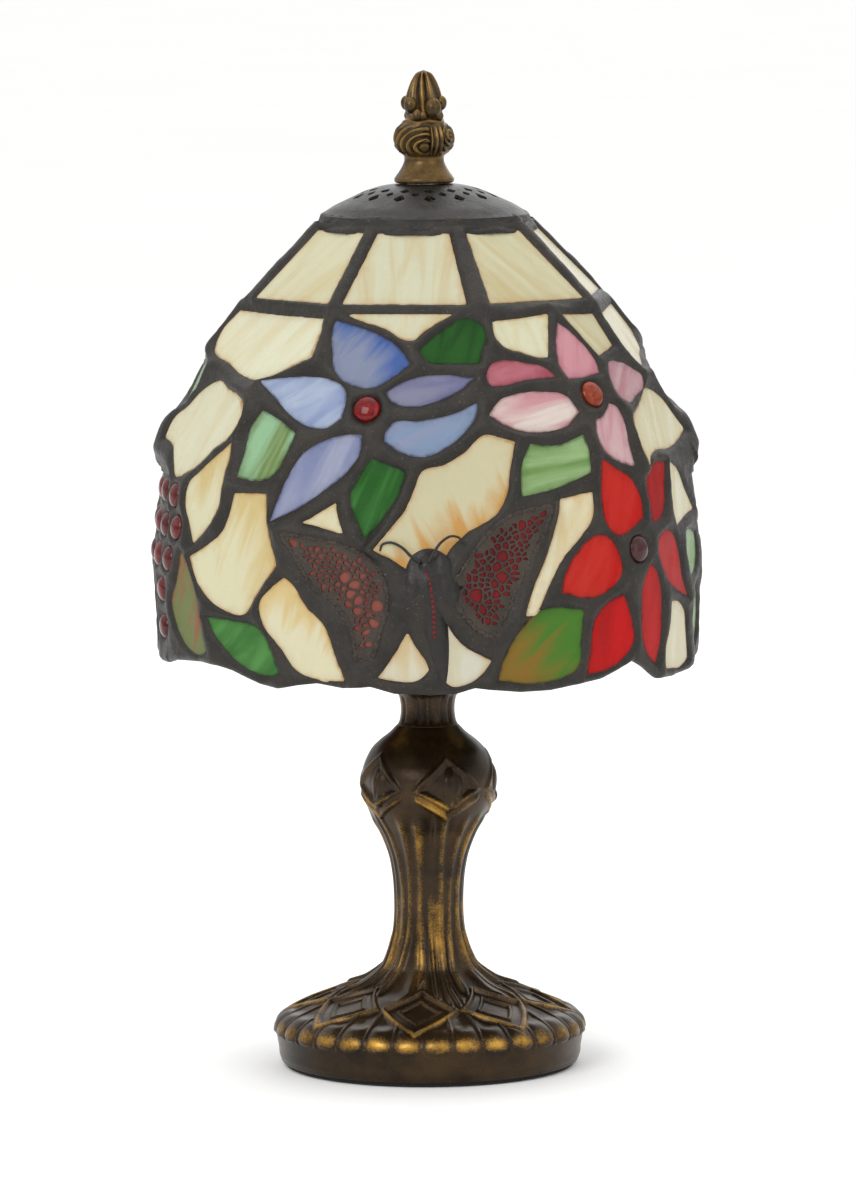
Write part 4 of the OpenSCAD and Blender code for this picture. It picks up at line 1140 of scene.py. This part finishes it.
def build_neck(material):
    """The tube above the knop, with the shallow dents of its casting, and the flared collar on it."""
    columns = 240
    outside = curve_through(NECK_LINE, 0.4)
    inside = straight_through([(9.4, 143.8), (9.4, 130)], 3)
    line = np.concatenate([outside, inside])
    az = azimuth_rows(line, columns)
    dents = np.zeros(az.shape)
    for place, width, depth in NECK_DENTS:
        dents -= depth * ridge((az - place + 180) % 360 - 180, width)
    dents *= (smoothstep(line[:, 1], 130.5, 133) * (1 - smoothstep(line[:, 1], 140, 143)))[:, None]
    dents[len(outside):] = 0
    verts, faces = turned(line, columns, dents, open_ends=False)
    piece = new_piece("neck_sleeve", verts, faces, "base", "antique_bronze", material, ["neck_tube"])
    point_float(piece, "rub", np.clip(0.1 + dents * 0.2, 0, 1).reshape(-1))
    inner = straight_through([(14, 145), (4.9, 145), (4.9, 143.8), (12.7, 143.8)], 2)
    line = np.concatenate([curve_through(COLLAR_LINE, 0.2), inner])
    verts, faces = turned(line, columns, open_ends=False)
    piece = new_piece("neck_collar", verts, faces, "base", "antique_bronze", material, ["neck_washer"])
    point_float(piece, "rub", np.full(len(verts), 0.15))


# ---- Finial ----

# Radius and height in mm of the finial's outline
FINIAL_LINE = [
    (10.6, 336), (11.2, 336.5), (11.3, 337.3), (10.6, 338.6), (9.6, 340), (8.3, 342.2), (7.5, 344.4),
    (7.6, 345.9), (8.6, 347.1), (10.1, 348.7), (11, 350.6), (11.2, 352.4), (10.9, 354.4), (10, 356.4),
    (8.7, 358), (7.3, 359.4), (6.6, 361), (6.5, 363), (6.5, 365.5), (6.4, 367.5), (6, 369.5),
    (5.3, 371.8), (4.3, 374.2), (3.1, 376.2), (1.8, 377.6), (0.3, 378.3),
]
# Each berry of half the finial: azimuth, height, half-width and half-height
BERRIES = [
    (-46, 365.3, 2.6, 3.2), (30, 364.2, 3.2, 4.0), (80, 366, 2.1, 2.8), (-22, 361.6, 2.0, 2.4),
    (-2, 361.4, 1.6, 1.9), (58, 361.2, 1.7, 2.0),
]


def leaf_swirls(az, z):
    """Curled leaves round the finial's bulb: a volute, an upright leaf and a second curl, twice over."""
    half = (az + 90) % 180 - 90
    x = half * 11 * math.pi / 180
    from_volute = np.hypot((x - 0.4) * 0.9, (z - 349.4) * 1.25)
    arcs = np.cos(2 * math.pi * (from_volute - 0.9) / 2.8) * smoothstep(from_volute, 1.2, 2.4) * 1.15
    upright = np.cos(2 * math.pi * (x - 5.3) / (2.1 + 0.05 * np.abs(z - 352)))
    from_curl = np.hypot(x - 12.6, (z - 354) * 1.1)
    curl = np.cos(2 * math.pi * from_curl / 2.1)
    right, far = smoothstep(x, 2.2, 2.8), smoothstep(x, 8.2, 8.8)
    within = smoothstep(z, 350.8, 352) * smoothstep(z, 356.5, 355.5)
    short = ridge(x - 0.7, 1.1) * np.cos(2 * math.pi * (z - 353) / 1.7) * within
    pattern = arcs * (1 - right) + upright * right * (1 - far) + curl * far + 0.9 * short * (1 - right)
    seams = ridge(x - 2.5, 0.4) + ridge(x - 8.5, 0.4) + ridge(x + 16, 0.4)
    window = smoothstep(z, 346, 348.5) * (1 - smoothstep(z, 356.5, 359))
    return (0.42 * pattern - 0.6 * seams) * window


def bud_ribs(az, z):
    """Ribs that run up the bud and meet at its tip."""
    lean = az + 7 * np.sin(np.radians(3 * az)) + 1.1 * (z - 362)
    ribs = np.abs(np.cos(np.radians(lean * 4)))
    fine = np.abs(np.cos(np.radians(lean * 8)))
    window = smoothstep(z, 360.5, 362.5) * (1 - smoothstep(z, 376.5, 378.2))
    return (1.3 * ribs + 0.3 * fine - 1.05) * window


def build_finial(material):
    columns = 420
    outer = curve_through(FINIAL_LINE, 0.16)
    bore = straight_through([(0.3, 348.3), (4.25, 348.3), (4.25, 336)], 2)
    line = np.concatenate([bore, outer])
    az, z = np.meshgrid(np.arange(columns) * 360 / columns, outer[:, 1])
    collar = 0.45 * ridge(z - 359.3 - 0.35 * np.sin(np.radians(az * 5)), 0.5)
    lift = leaf_swirls(az, z) + bud_ribs(az, z) + collar
    full = np.zeros((len(line), columns))
    full[len(bore):] = lift
    verts, faces = turned(line, columns, full)
    faces = [tuple(f) for f in faces]
    faces += [tuple(range(columns))[::-1], tuple(range(len(verts) - columns, len(verts)))]
    parts, rub = Parts(), [np.clip(full * 0.8 + 0.38, 0, 1).reshape(-1)]
    parts.add(verts, faces)
    for azimuth, height, wide, tall in BERRIES + [(b[0] + 180, *b[1:]) for b in BERRIES]:
        points, quads = ball(24, 16, wide, tall)
        radius = np.interp(height, [p[1] for p in FINIAL_LINE], [p[0] for p in FINIAL_LINE]) + 0.1 * wide
        place = direction(np.array(azimuth)) * radius + np.array([0, 0, height])
        parts.add((points + place) * MM, quads)
        # Each berry's gold grows towards its top: partly rubbed gold and partly a painted highlight on top
        rub.append(np.clip(points[:, 2] / tall * 0.4 + 0.3, 0, 1))
    piece = new_piece("cast_finial", *parts.joined(), "finial", "finial_bronze", material, ["finial"])
    point_float(piece, "rub", np.concatenate(rub))


def ball(around, rings, wide, tall):
    """Points in mm and faces of a ball stretched upright, with closed poles."""
    levels = [math.pi * (k / rings - 0.5) for k in range(1, rings)]
    points = [(wide * math.cos(a) * math.cos(t), wide * math.cos(a) * math.sin(t), tall * math.sin(a))
              for a in levels for t in np.linspace(0, 2 * math.pi, around, endpoint=False)]
    faces = [tuple(q) for q in grid_faces(len(levels), around)]
    low, high = len(points), len(points) + 1
    points += [(0, 0, -tall), (0, 0, tall)]
    top = (len(levels) - 1) * around
    for j in range(around):
        k = (j + 1) % around
        faces += [(k, j, low), (top + j, top + k, high)]
    return np.array(points), faces


# ---- Cap and its solder ring ----

# Radius and height in mm of the cap's dome and of the ring of solder round it
CAP_LINE = [(3.6, 335.5), (11, 335.5), (15, 335), (21.7, 333.2), (27, 330.9), (30.2, 329.4), (34.5, 327.3),
            (37.6, 325.3), (39.3, 324.3)]
CAP_RIM_LINE = [
    (34, 320.6), (34.2, 319.8), (36.5, 319.6), (39.6, 319.2), (41.6, 318.4), (42.6, 318.5), (42.2, 319.9),
    (40.6, 321.4), (39.9, 323.2), (39.3, 324.5), (38.2, 325.2), (37, 325.3), (34.6, 323.4), (34, 322),
]
# Rings of vents: radius, first azimuth, width and depth
VENTS = [(25.8, 4.5, 4.9, 5.4), (22.8, 17.4, 3.4, 3.8), (19.8, 4.5, 4.2, 4.4)]
VENTS_IN_A_RING = 14


def vent_outline(radius, azimuth, wide, deep):
    """One hole seen from above: a rounded kite, wider than deep at its outer end."""
    corners = [(0, deep / 2), (wide / 2, 0.1 * deep), (0, -deep / 2), (-wide / 2, 0.1 * deep)]
    out = []
    for (x, y), (u, v) in zip(corners, corners[1:] + corners[:1]):
        for t in (0.14, 0.4, 0.6, 0.86):
            out.append((x + (u - x) * t, y + (v - y) * t))
    a = math.radians(azimuth)
    spoke, side = np.array([math.sin(a), -math.cos(a)]), np.array([math.cos(a), math.sin(a)])
    return np.array([(spoke * (radius + y) + side * x) * MM for x, y in out])


def ring(radius, count):
    a = np.linspace(0, 2 * math.pi, count, endpoint=False)
    return np.column_stack([np.cos(a), np.sin(a)]) * radius * MM


def build_vent_cap(material):
    line = curve_through(CAP_LINE, 0.3)
    holes = [vent_outline(r, first + k * 360 / VENTS_IN_A_RING, wide, deep)
             for r, first, wide, deep in VENTS for k in range(VENTS_IN_A_RING)]
    fill = [ring(r, max(40, int(r * 6.5))) for r in np.arange(4.6, 39, 0.95)]
    fill = np.concatenate(fill)
    for hole in holes:
        near = np.linalg.norm(fill - hole.mean(0), axis=1) < 4 * MM
        clear = np.ones(len(fill), bool)
        clear[near] = signed_distance(fill[near], hole) > 0.35 * MM
        fill = fill[clear]
    co, tris = flat_sheet([ring(39.3, 300)], [ring(3.6, 90), *holes], fill)
    r = np.linalg.norm(co, axis=1) / MM
    height = np.interp(r, line[:, 0], line[:, 1]) * MM
    dents = np.array([noise.noise(Vector((*p, 0.3)) * 95) for p in co]) * 0.12 * MM
    verts, faces = thick_sheet(co, tris, height + dents, height + dents - 1.2 * MM)
    return new_piece("pierced_cap", verts, faces, "shade", "dark_brass", material, ["vent_cap"], smooth=False)


def build_cap_rim(material):
    """Solder run round the cap's edge, lumpy, with a blob over each rib that meets it."""
    columns = 720
    line = curve_through(CAP_RIM_LINE, 0.35)
    az = azimuth_rows(line, columns)
    spots = direction(az) * line[:, 0][:, None, None] * MM
    spots[..., 2] = line[:, 1][:, None] * MM
    lumps = np.array([noise.fractal(Vector(p) * 150, 1.0, 2.0, 3) for p in spots.reshape(-1, 3)])
    lumps = lumps.reshape(az.shape)
    rib = from_nearest(az, BAND_TURN, 8) * 40 * math.pi / 180
    blob = ridge(rib, 3.4) * ridge(line[:, 1][:, None] - 320.6, 2.6)
    outside = smoothstep(line[:, 0], 36.5, 38.5)[:, None]
    verts, faces = turned(line, columns, (0.55 * lumps + 0.85 * blob - 0.25) * outside, open_ends=False)
    return new_piece("cap_solder", verts, faces, "shade", "dark_solder", material, ["cap_rim"])


# ---- Butterfly ----


def tube(points, radii, around=12):
    """Points and faces of a round wire along a line, with rounded ends."""
    points = np.asarray(points, float)
    along = np.gradient(points, axis=0)
    along /= np.linalg.norm(along, axis=1)[:, None]
    side = np.cross(along[0], [0.3, 0.2, 1.0])
    radii = np.broadcast_to(radii, (len(points),))
    rows, angles = [], np.linspace(0, 2 * math.pi, around, endpoint=False)
    for p, t, r in zip(points, along, radii):
        side = side - t * (side @ t)
        side /= np.linalg.norm(side)
        over = np.cross(t, side)
        rows.append(p + r * (np.cos(angles)[:, None] * side + np.sin(angles)[:, None] * over))
    tips = [points[:1] - along[:1] * radii[0] * 0.6, points[-1:] + along[-1:] * radii[-1] * 0.6]
    verts = np.concatenate([*rows, *tips])
    faces = [tuple(q) for q in grid_faces(len(points), around)]
    last = (len(points) - 1) * around
    for j in range(around):
        k = (j + 1) % around
        faces += [(k, j, len(verts) - 2), (last + j, last + k, len(verts) - 1)]
    return verts, faces


def smooth_line(points, step=0.5 * MM):
    """A line through points in space, rounded between them."""
    end = curve_distances(points)[-1]
    return curve_at(points, np.linspace(0, end, max(4, int(end / step))))


# Larger openings of the pierced wings: distance sideways, height and size in mm
WING_OPENINGS = {
    "left": [
        (-29.5, 196.8, 2.1), (-26.2, 194.0, 1.9), (-16.8, 186.2, 2.6), (-24.5, 188.6, 1.6),
        (-37.8, 212.4, 1.45), (-40.2, 210.4, 1.45), (-27.2, 190.6, 1.85), (-24.2, 183.8, 1.35),
        (-18.0, 180.4, 1.4), (-20.4, 172.2, 1.3), (-38.0, 193.2, 1.25), (-21.0, 176.6, 1.35),
    ],
    "right": [
        (27.5, 204.1, 2.2), (25.0, 200.4, 1.7), (16.7, 190.0, 2.55), (24.0, 194.2, 1.4),
        (27.0, 196.4, 2.1), (24.4, 190.1, 1.3), (19.2, 184.4, 1.45), (32.4, 218.4, 1.6),
        (35.4, 215.4, 1.5), (24.7, 213.4, 1.25), (32.3, 192.0, 1.35), (36.0, 200.6, 1.4),
        (21.0, 180.2, 1.25),
    ],
}
# Metal left between two openings
WING_WALL = 0.62 * MM


def cell(seeds, sizes, i, wall):
    """The outline of the opening round one seed, that leaves half a wall towards every other."""
    centre = seeds[i]
    outline = [centre + 4 * MM * np.array([x, y]) for x, y in ((-1, -1), (1, -1), (1, 1), (-1, 1))]
    offset = seeds - centre
    far = np.linalg.norm(offset, axis=1)
    for j in np.argsort(far)[1:16]:
        way = offset[j] / far[j]
        limit = (far[j] ** 2 + sizes[i] ** 2 - sizes[j] ** 2) / (2 * far[j]) - wall / 2
        kept = []
        for p, q in zip(outline, outline[1:] + outline[:1]):
            a, b = (p - centre) @ way - limit, (q - centre) @ way - limit
            if a <= 0:
                kept.append(p)
            if (a < 0) != (b < 0) and abs(a - b) > 1e-12:
                kept.append(p + (q - p) * a / (a - b))
        outline = kept
        if len(outline) < 3:
            return None
    return np.array(outline)


def rounded(outline):
    """An outline with its corners cut off twice over."""
    for _ in range(2):
        following = np.roll(outline, -1, 0)
        cut = [0.75 * outline + 0.25 * following, 0.25 * outline + 0.75 * following]
        outline = np.stack(cut, 1).reshape(-1, 2)
    return outline


def wing_holes(pane, side, seed):
    """The openings of one wing: the larger ones, and rows of smaller ones that fan out from its root."""
    plane, loop = pane.plane, pane.loop
    outward = -1 if side == "left" else 1
    root = np.array([-outward * np.abs(loop[:, 0]).max() * 0.9, -4 * MM])
    turned_back = plane.centre[1] > 0
    seeds, sizes = [], []
    for x, z, size in WING_OPENINGS[side]:
        spot = plane.flat(np.array([[(-x if turned_back else x) * MM, plane.centre[1], z * MM]]))[0][:2]
        seeds.append(spot)
        sizes.append(size * MM)
    for row, reach in enumerate(np.arange(4, 56, 2.5)):
        spread = math.degrees(1.75 / reach)
        for k, turn in enumerate(np.arange(-100, 100, spread)):
            wander = [noise.noise(Vector((row * 3.1, k * 1.7, seed + m))) for m in (0, 4)]
            a = math.radians(turn + (row % 2) * spread / 2) + 1.1 * wander[0] / reach
            way = np.array([outward * math.cos(a), math.sin(a)])
            spot = root + (reach + 1.3 * wander[1]) * MM * way
            if signed_distance(spot[None], loop)[0] > -0.9 * MM:
                continue
            apart = np.linalg.norm(np.array(seeds) - spot, axis=1)
            if np.all(apart > 0.95 * np.array(sizes) + 0.85 * MM):
                seeds.append(spot)
                sizes.append((0.55 + 0.35 * wander[0]) * MM)
    seeds, sizes = np.array(seeds), np.array(sizes)
    holes = []
    for i in range(len(seeds)):
        outline = cell(seeds, sizes, i, WING_WALL)
        if outline is None:
            continue
        centre = outline.mean(0)
        share = np.ones(len(outline))
        for _ in range(7):
            reached = centre + (outline - centre) * share[:, None]
            share[signed_distance(reached, loop) > -0.5 * MM] *= 0.8
        outline = rounded(centre + (outline - centre) * share[:, None])
        narrow = np.linalg.norm(outline - centre, axis=1).min()
        if narrow > 0.22 * MM and signed_distance(outline, loop).max() < -0.3 * MM:
            holes.append(outline)
    return holes


def lumpy_roll(plane, loop, seed):
    """A bubbly roll of solder along a closed outline."""
    around, step = 12, 0.55 * MM
    length = np.linalg.norm(np.roll(loop, -1, 0) - loop, axis=1)
    s = np.concatenate([[0], np.cumsum(length)])
    at = np.linspace(0, s[-1], int(s[-1] / step), endpoint=False)
    closed = np.concatenate([loop, loop[:1]])
    line = np.column_stack([np.interp(at, s, closed[:, k]) for k in (0, 1)])
    along = np.roll(line, -1, 0) - np.roll(line, 1, 0)
    along /= np.linalg.norm(along, axis=1)[:, None]
    side = np.column_stack([along[:, 1], -along[:, 0]])
    verts = []
    for j, t in enumerate(np.linspace(0, 2 * math.pi, around, endpoint=False)):
        size = 0.95 + 0.4 * ripple(line / MM * 0.7, seed) + 0.55 * ripple(line / MM * 1.3, seed + j * 0.5)
        size *= MM
        flat = line + side * (size * math.cos(t) * 1.15)[:, None]
        verts.append(np.column_stack([flat, 1.5 * MM + size * math.sin(t) * 0.95]))
    verts = np.stack(verts, 1).reshape(-1, 3)
    quads = np.concatenate([grid_faces(len(line), around), seam_faces(len(line), around)])
    return plane.world(verts), quads


def build_filigree(panes, material):
    for side_name in SIDES:
        parts = Parts()
        for i, pane in enumerate(panes[f"wing_glass_{side_name}"]):
            wing = "left" if i == 0 else "right"
            holes = wing_holes(pane, wing, 3.0 + i)
            fill = filling(pane.loop, 2.4 * MM, 1.0 * MM)
            co, tris = flat_sheet([widened(pane.loop, 0.3 * MM)], holes, fill)
            wave = ripple(co / MM * 0.5, i + 9.0) * 0.12 * MM
            sheet, solid = thick_sheet(co, tris, 2.0 * MM + wave, np.full(len(co), 1.42 * MM))
            parts.add(pane.plane.world(sheet), solid)
            parts.add(*lumpy_roll(pane.plane, widened(pane.loop, 0.5 * MM), 20 + i))
        node = f"wing_filigree_{side_name}"
        new_piece(node + "_sheet", *parts.joined(), "shade", "dark_brass", material, [node], smooth=False)


# Swellings of the body: sideways mm from its middle, height, half-width, half-height, tilt and thickness
BODY_PARTS = [
    (2.3, 180.5, 4.3, 22.0, 8, 2.5), (-4.8, 192.6, 3.8, 10.0, -4, 1.7), (7.2, 193.2, 3.8, 10.0, 10, 1.7),
    (0.8, 194.6, 6.8, 8.0, 0, 1.9), (-0.4, 201.0, 3.0, 3.2, 0, 2.2),
]
# How softly the swellings merge, and how far the sheet sinks beside them, in mm
BODY_SOFT, BODY_DEEP = 0.3, -1.9
# The oval that the body is cut from, and the number of red spots down it
BODY_MIDDLE, BODY_HALF = np.array([0.8, 180.5]), np.array([14.5, 27])
SPOTS = 13


def body_height(x, z):
    """How far the body stands out of the solder in mm: its swellings run into each other."""
    total = np.exp(np.full(x.shape, BODY_DEEP) / BODY_SOFT)
    for middle, height, wide, tall, tilt, thick in BODY_PARTS:
        v = (z - height) / tall
        taper = 1 - 0.35 * (v < 0) * np.minimum(v**2, 1)
        u = (x - middle + (z - height) * math.tan(math.radians(tilt))) / (wide * taper)
        total += np.exp(thick * np.maximum(1 - u**2 - v**2, BODY_DEEP / thick) / BODY_SOFT)
    return BODY_SOFT * np.log(total)


# Routes of the two wires: sideways mm and height
ANTENNAE = [
    [(-2.4, 202.5), (-5.4, 204.6), (-9.4, 208.2), (-13.2, 209.6), (-16.0, 208.6), (-16.6, 206.6)],
    [(0.6, 202.5), (2.6, 206.0), (5.6, 210.0), (9.2, 211.8), (12.0, 210.8), (12.6, 209.2)],
]


def build_butterfly(material, spots):
    for side_name in SIDES:
        turn = 180 if side_name == "back" else 0
        body, dots = Parts(), Parts()

        def outside(x, z, lift):
            """A place x mm sideways, standing lift mm off the middle of the wall."""
            azimuth = np.degrees(np.asarray(x) / DOME_R) + turn
            z = np.broadcast_to(np.asarray(z, float), np.shape(azimuth))
            return shade_point(azimuth, z) + shade_normal(azimuth, z) * (np.asarray(lift) * MM)[..., None]

        x, z = np.meshgrid(np.arange(-13, 14.5, 0.42), np.arange(154, 207, 0.42))
        a = np.linspace(0, 2 * math.pi, 160, endpoint=False)
        oval = BODY_MIDDLE + BODY_HALF * np.column_stack([np.cos(a), np.sin(a)])
        fill = np.column_stack([x.ravel(), z.ravel()])
        fill = fill[signed_distance(fill, oval) < -0.3]
        co, tris = flat_sheet([oval], [], fill)
        rough = ripple(co * 0.35, turn) * 0.2
        height = body_height(co[:, 0], co[:, 1])
        solid, quads = thick_sheet(co, tris, 2.0 + height + rough * (height > 0), np.full(len(co), -0.5))
        body.add(outside(*solid.T), quads)
        for route in ANTENNAE:
            x, z = np.array(route).T
            line = smooth_line(outside(x, z, np.full(len(x), 3.4)))
            body.add(*tube(line, np.linspace(0.62, 0.4, len(line)) * MM))
        node = f"butterfly_body_{side_name}"
        new_piece(node + "_shape", *body.joined(), "shade", "dark_brass", material, [node])
        for k in range(SPOTS):
            height = 198.4 - 1.9 * k
            across = 2.6 - 2.7 * math.exp(-k / 3.5)
            points, quads = ball(10, 8, 1, 1)
            size = 0.68 + 0.2 * noise.noise(Vector((k * 1.9, 3, 1)))
            slim = 0.7 if k < 4 else 1.0
            standing = 2.0 + body_height(np.array([across]), np.array([height]))[0]
            sideways, upwards = points[:, 0] * size * slim, points[:, 2] * size
            dots.add(outside(across + sideways, height + upwards, standing + points[:, 1] * 0.35), quads)
        new_piece(node + "_spots", *dots.joined(), "shade", "wing_glass", spots)


# ---- Harp and screw threads ----


def arc(centre, radius, start, end, steps):
    a = np.radians(start + (end - start) * np.arange(1, steps + 1) / steps)
    return np.array(centre) + radius * np.column_stack([np.cos(a), np.sin(a)])


def harp_half():
    """Half of the harp's wire, [x, height] in mm: up the leg, round the bulb and level under the stud."""
    flare = arc((26 + 60, 182), 60, 180, 150, 12)
    belly_mid = flare[-1] - 91 * np.array([math.cos(math.radians(30)), -math.sin(math.radians(30))])
    belly = arc(belly_mid, 91, -30, 50, 40)
    crown_mid = belly[-1] - 12 * np.array([math.cos(math.radians(50)), math.sin(math.radians(50))])
    return np.concatenate([[(26, 161.3), (26, 170), (26, 182)], flare, belly, arc(crown_mid, 12, 50, 90, 10)])


def build_harp(material):
    half = harp_half()
    whole = np.concatenate([half, half[::-1] * [-1, 1]])
    line = np.column_stack([whole[:, 0], np.zeros(len(whole)), whole[:, 1]]) * MM
    parts = Parts()
    parts.add(*tube(line, 1.9 * MM, 24))
    disc = [(0.02, 327.5), (8.6, 327.5), (9, 327.9), (9, 331.9), (8.6, 332.3), (0.02, 332.3)]
    parts.add(*turned(straight_through(disc, 0.4), 72))
    new_piece("harp_wire", *parts.joined(), "harp", "brass", material, ["harp_bow"])


def threaded(name, node, body, slot, material, outline, pitch, depth, low, high, columns=96):
    """A closed turned part whose wall carries a screw thread, cut in from its line between two heights."""
    line = straight_through(outline, pitch / 12)
    az = azimuth_rows(line, columns)
    z = line[:, 1][:, None]
    wave = 0.5 - 0.5 * np.cos(2 * math.pi * (z / pitch - az / 360))
    window = smoothstep(z, low, low + pitch) * (1 - smoothstep(z, high - pitch, high))
    walls = np.abs(line_normals(line)[:, 0])[:, None] > 0.9
    verts, faces = turned(line, columns, -depth * wave * window * walls, open_ends=False)
    new_piece(name, verts, faces, body, slot, material, [node])


def build_threads(brass, bulb_metal, steel):
    threaded("bulb_cap_thread", "bulb_cap", "bulb", "bulb_metal", bulb_metal,
             [(0.3, 184), (12.6, 184), (12.95, 184.4), (12.95, 204), (12.3, 204), (12.3, 185), (0.3, 185)],
             3.63, 0.9, 185, 203)
    threaded("harp_stud_thread", "harp_stud", "harp", "brass", brass,
             [(0.3, 332.3), (6, 332.3), (6, 333.3), (3.1, 333.3), (3.1, 343.1), (2.8, 343.5), (0.3, 343.5)],
             0.94, 0.35, 333.8, 343.4, 48)
    threaded("pipe_thread", "center_pipe", "base", "zinc_steel", steel,
             [(3.4, 14), (4.9, 14), (4.9, 155), (3.4, 155)], 1.0, 0.3, 14, 155, 48)


# ---- Camera, light and floor ----


def build_camera():
    data = bpy.data.cameras.new("camera")
    camera = bpy.data.objects.new("camera", data)
    bpy.context.scene.collection.objects.link(camera)
    camera.location = (0, -2.8, 0.49)
    aim = Vector((0, 0, 0.175)) - camera.location
    camera.rotation_mode = "QUATERNION"
    roll = Matrix.Rotation(math.radians(-0.38), 3, "Z").to_quaternion()
    camera.rotation_quaternion = aim.to_track_quat("-Z", "Y") @ roll
    data.lens = 222.6
    data.sensor_width = 36
    data.shift_x, data.shift_y = 0.0008, 0.0054
    data.clip_start, data.clip_end = 0.05, 50
    bpy.context.scene.camera = camera


def area_light(name, location, size, power):
    """A rectangular light that faces the middle of the lamp."""
    data = bpy.data.lights.new(name, "AREA")
    data.shape = "RECTANGLE"
    data.size, data.size_y = size
    data.energy = power
    light = bpy.data.objects.new(name, data)
    bpy.context.scene.collection.objects.link(light)
    light.location = location
    light.rotation_mode = "QUATERNION"
    light.rotation_quaternion = (Vector((0, 0, 0.2)) - Vector(location)).to_track_quat("-Z", "Y")


def sky_like_tent(tree):
    """Light from all round, soft and grey near the floor and white overhead."""
    links, make = tree.links, tree.nodes.new
    height = make("ShaderNodeSeparateXYZ")
    ramp = make("ShaderNodeValToRGB")
    ramp.color_ramp.elements[0].position, ramp.color_ramp.elements[0].color = 0.0, (0.42, 0.42, 0.42, 1)
    ramp.color_ramp.elements[1].position, ramp.color_ramp.elements[1].color = 0.6, (1, 1, 1, 1)
    background = tree.nodes["Background"]
    links.new(make("ShaderNodeTexCoord").outputs["Generated"], height.inputs[0])
    links.new(height.outputs["Z"], ramp.inputs[0])
    links.new(ramp.outputs[0], background.inputs["Color"])
    background.inputs["Strength"].default_value = 1.12


def build_studio():
    scene = bpy.context.scene
    scene.view_settings.view_transform = "Standard"
    world = bpy.data.worlds.new("studio")
    world.use_nodes = True
    sky_like_tent(world.node_tree)
    scene.world = world
    area_light("key", (-1.1, -1.9, 1.5), (1.3, 1.3), 24)
    area_light("fill", (1.5, -1.6, 0.9), (1.2, 1.6), 6)
    area_light("top", (0.1, 0.3, 1.8), (1.4, 1.4), 5)
    area_light("back", (0.3, 1.9, 1.0), (1.6, 1.2), 5)
    floor_shader = plain_material("floor", (252, 252, 251), (250, 250, 249), 0.8, scale=3.0, strength=0.0)
    mesh = bpy.data.meshes.new("floor")
    bm = bmesh.new()
    bmesh.ops.create_circle(bm, cap_ends=True, segments=64, radius=60)
    bm.to_mesh(mesh)
    bm.free()
    mesh.materials.append(floor_shader)
    floor = bpy.data.objects.new("floor", mesh)
    bpy.context.scene.collection.objects.link(floor)
    floor.location.z = -0.0004


# Slots of the CAD nodes that keep their own shape
CARRIED = {
    "felt": ["base_felt"],
    "bush_rubber": ["cord_bush"],
    "zinc_steel": ["pipe_washer", "finial_washer"],
    "brass": [
        "pipe_nut", "harp_saddle", "socket_cap", "socket_shell", "screw_shell", "centre_contact",
        "terminal_screws", "switch_shaft", "ferrule_left", "ferrule_right", "seat_ring", "finial_insert",
    ],
    "liner_card": ["socket_liner"],
    "black_phenolic": ["socket_interior", "switch_knob", "bulb_insulator"],
    "bulb_metal": ["bulb_contact", "bulb_filament"],
    "bulb_glass": ["bulb_glass", "bulb_stem"],
}


def hardware_materials():
    frosted = plain_material("bulb_glass", (242, 242, 238), (232, 232, 228), 0.45, 900.0, strength=0.1,
                             Coat_Weight=0.2)
    return {
        "felt": plain_material("felt", (26, 25, 24), (44, 42, 40), 1.0, 2600.0, 0.0006, 0.8),
        "bush_rubber": plain_material("bush_rubber", (22, 22, 22), (34, 34, 34), 0.7, 900.0),
        "zinc_steel": metal_material("zinc_steel", (196, 198, 200), (160, 162, 166)),
        "brass": metal_material("brass", (214, 178, 104), (176, 140, 74)),
        "liner_card": plain_material("liner_card", (190, 176, 140), (170, 154, 118), 0.9, 1400.0),
        "black_phenolic": plain_material("black_phenolic", (18, 18, 18), (30, 29, 28), 0.28, 300.0,
                                         strength=0.08),
        "bulb_metal": metal_material("bulb_metal", (206, 208, 210), (182, 184, 188)),
        "bulb_glass": frosted,
    }


def dress_carried(materials):
    for slot, nodes in CARRIED.items():
        for node in nodes:
            for material_slot in NODES[node].material_slots:
                material_slot.material = materials[slot]


def main():
    build_camera()
    build_studio()
    panes = build_glass()
    gems = build_gems()
    shapes = [s for group in (panes, gems) for node in group.values() for s in node]
    solder = solder_material("dark_solder")
    build_solder(shapes, solder)
    build_cap_rim(solder)
    cap_metal = plain_material("dark_brass", (34, 31, 27), (22, 20, 18), 0.38, scale=420.0, depth=0.0008,
                               strength=0.4, Metallic=0.35)
    build_vent_cap(cap_metal)
    wing_metal = solder_material("wing_metal", (60, 51, 44), (112, 103, 92))
    build_filigree(panes, wing_metal)
    build_butterfly(cap_metal, jewel_spots_material())
    bronze = patina_material("antique_bronze", (62, 46, 26), (31, 22, 13), (186, 140, 56))
    build_lamp_body(bronze)
    build_neck(bronze)
    build_finial(patina_material("finial_bronze", (74, 56, 28), (30, 22, 11), (146, 113, 57), 900.0, 0.45))
    metals = hardware_materials()
    dress_carried(metals)
    build_harp(metals["brass"])
    build_threads(metals["brass"], metals["bulb_metal"], metals["zinc_steel"])


main()
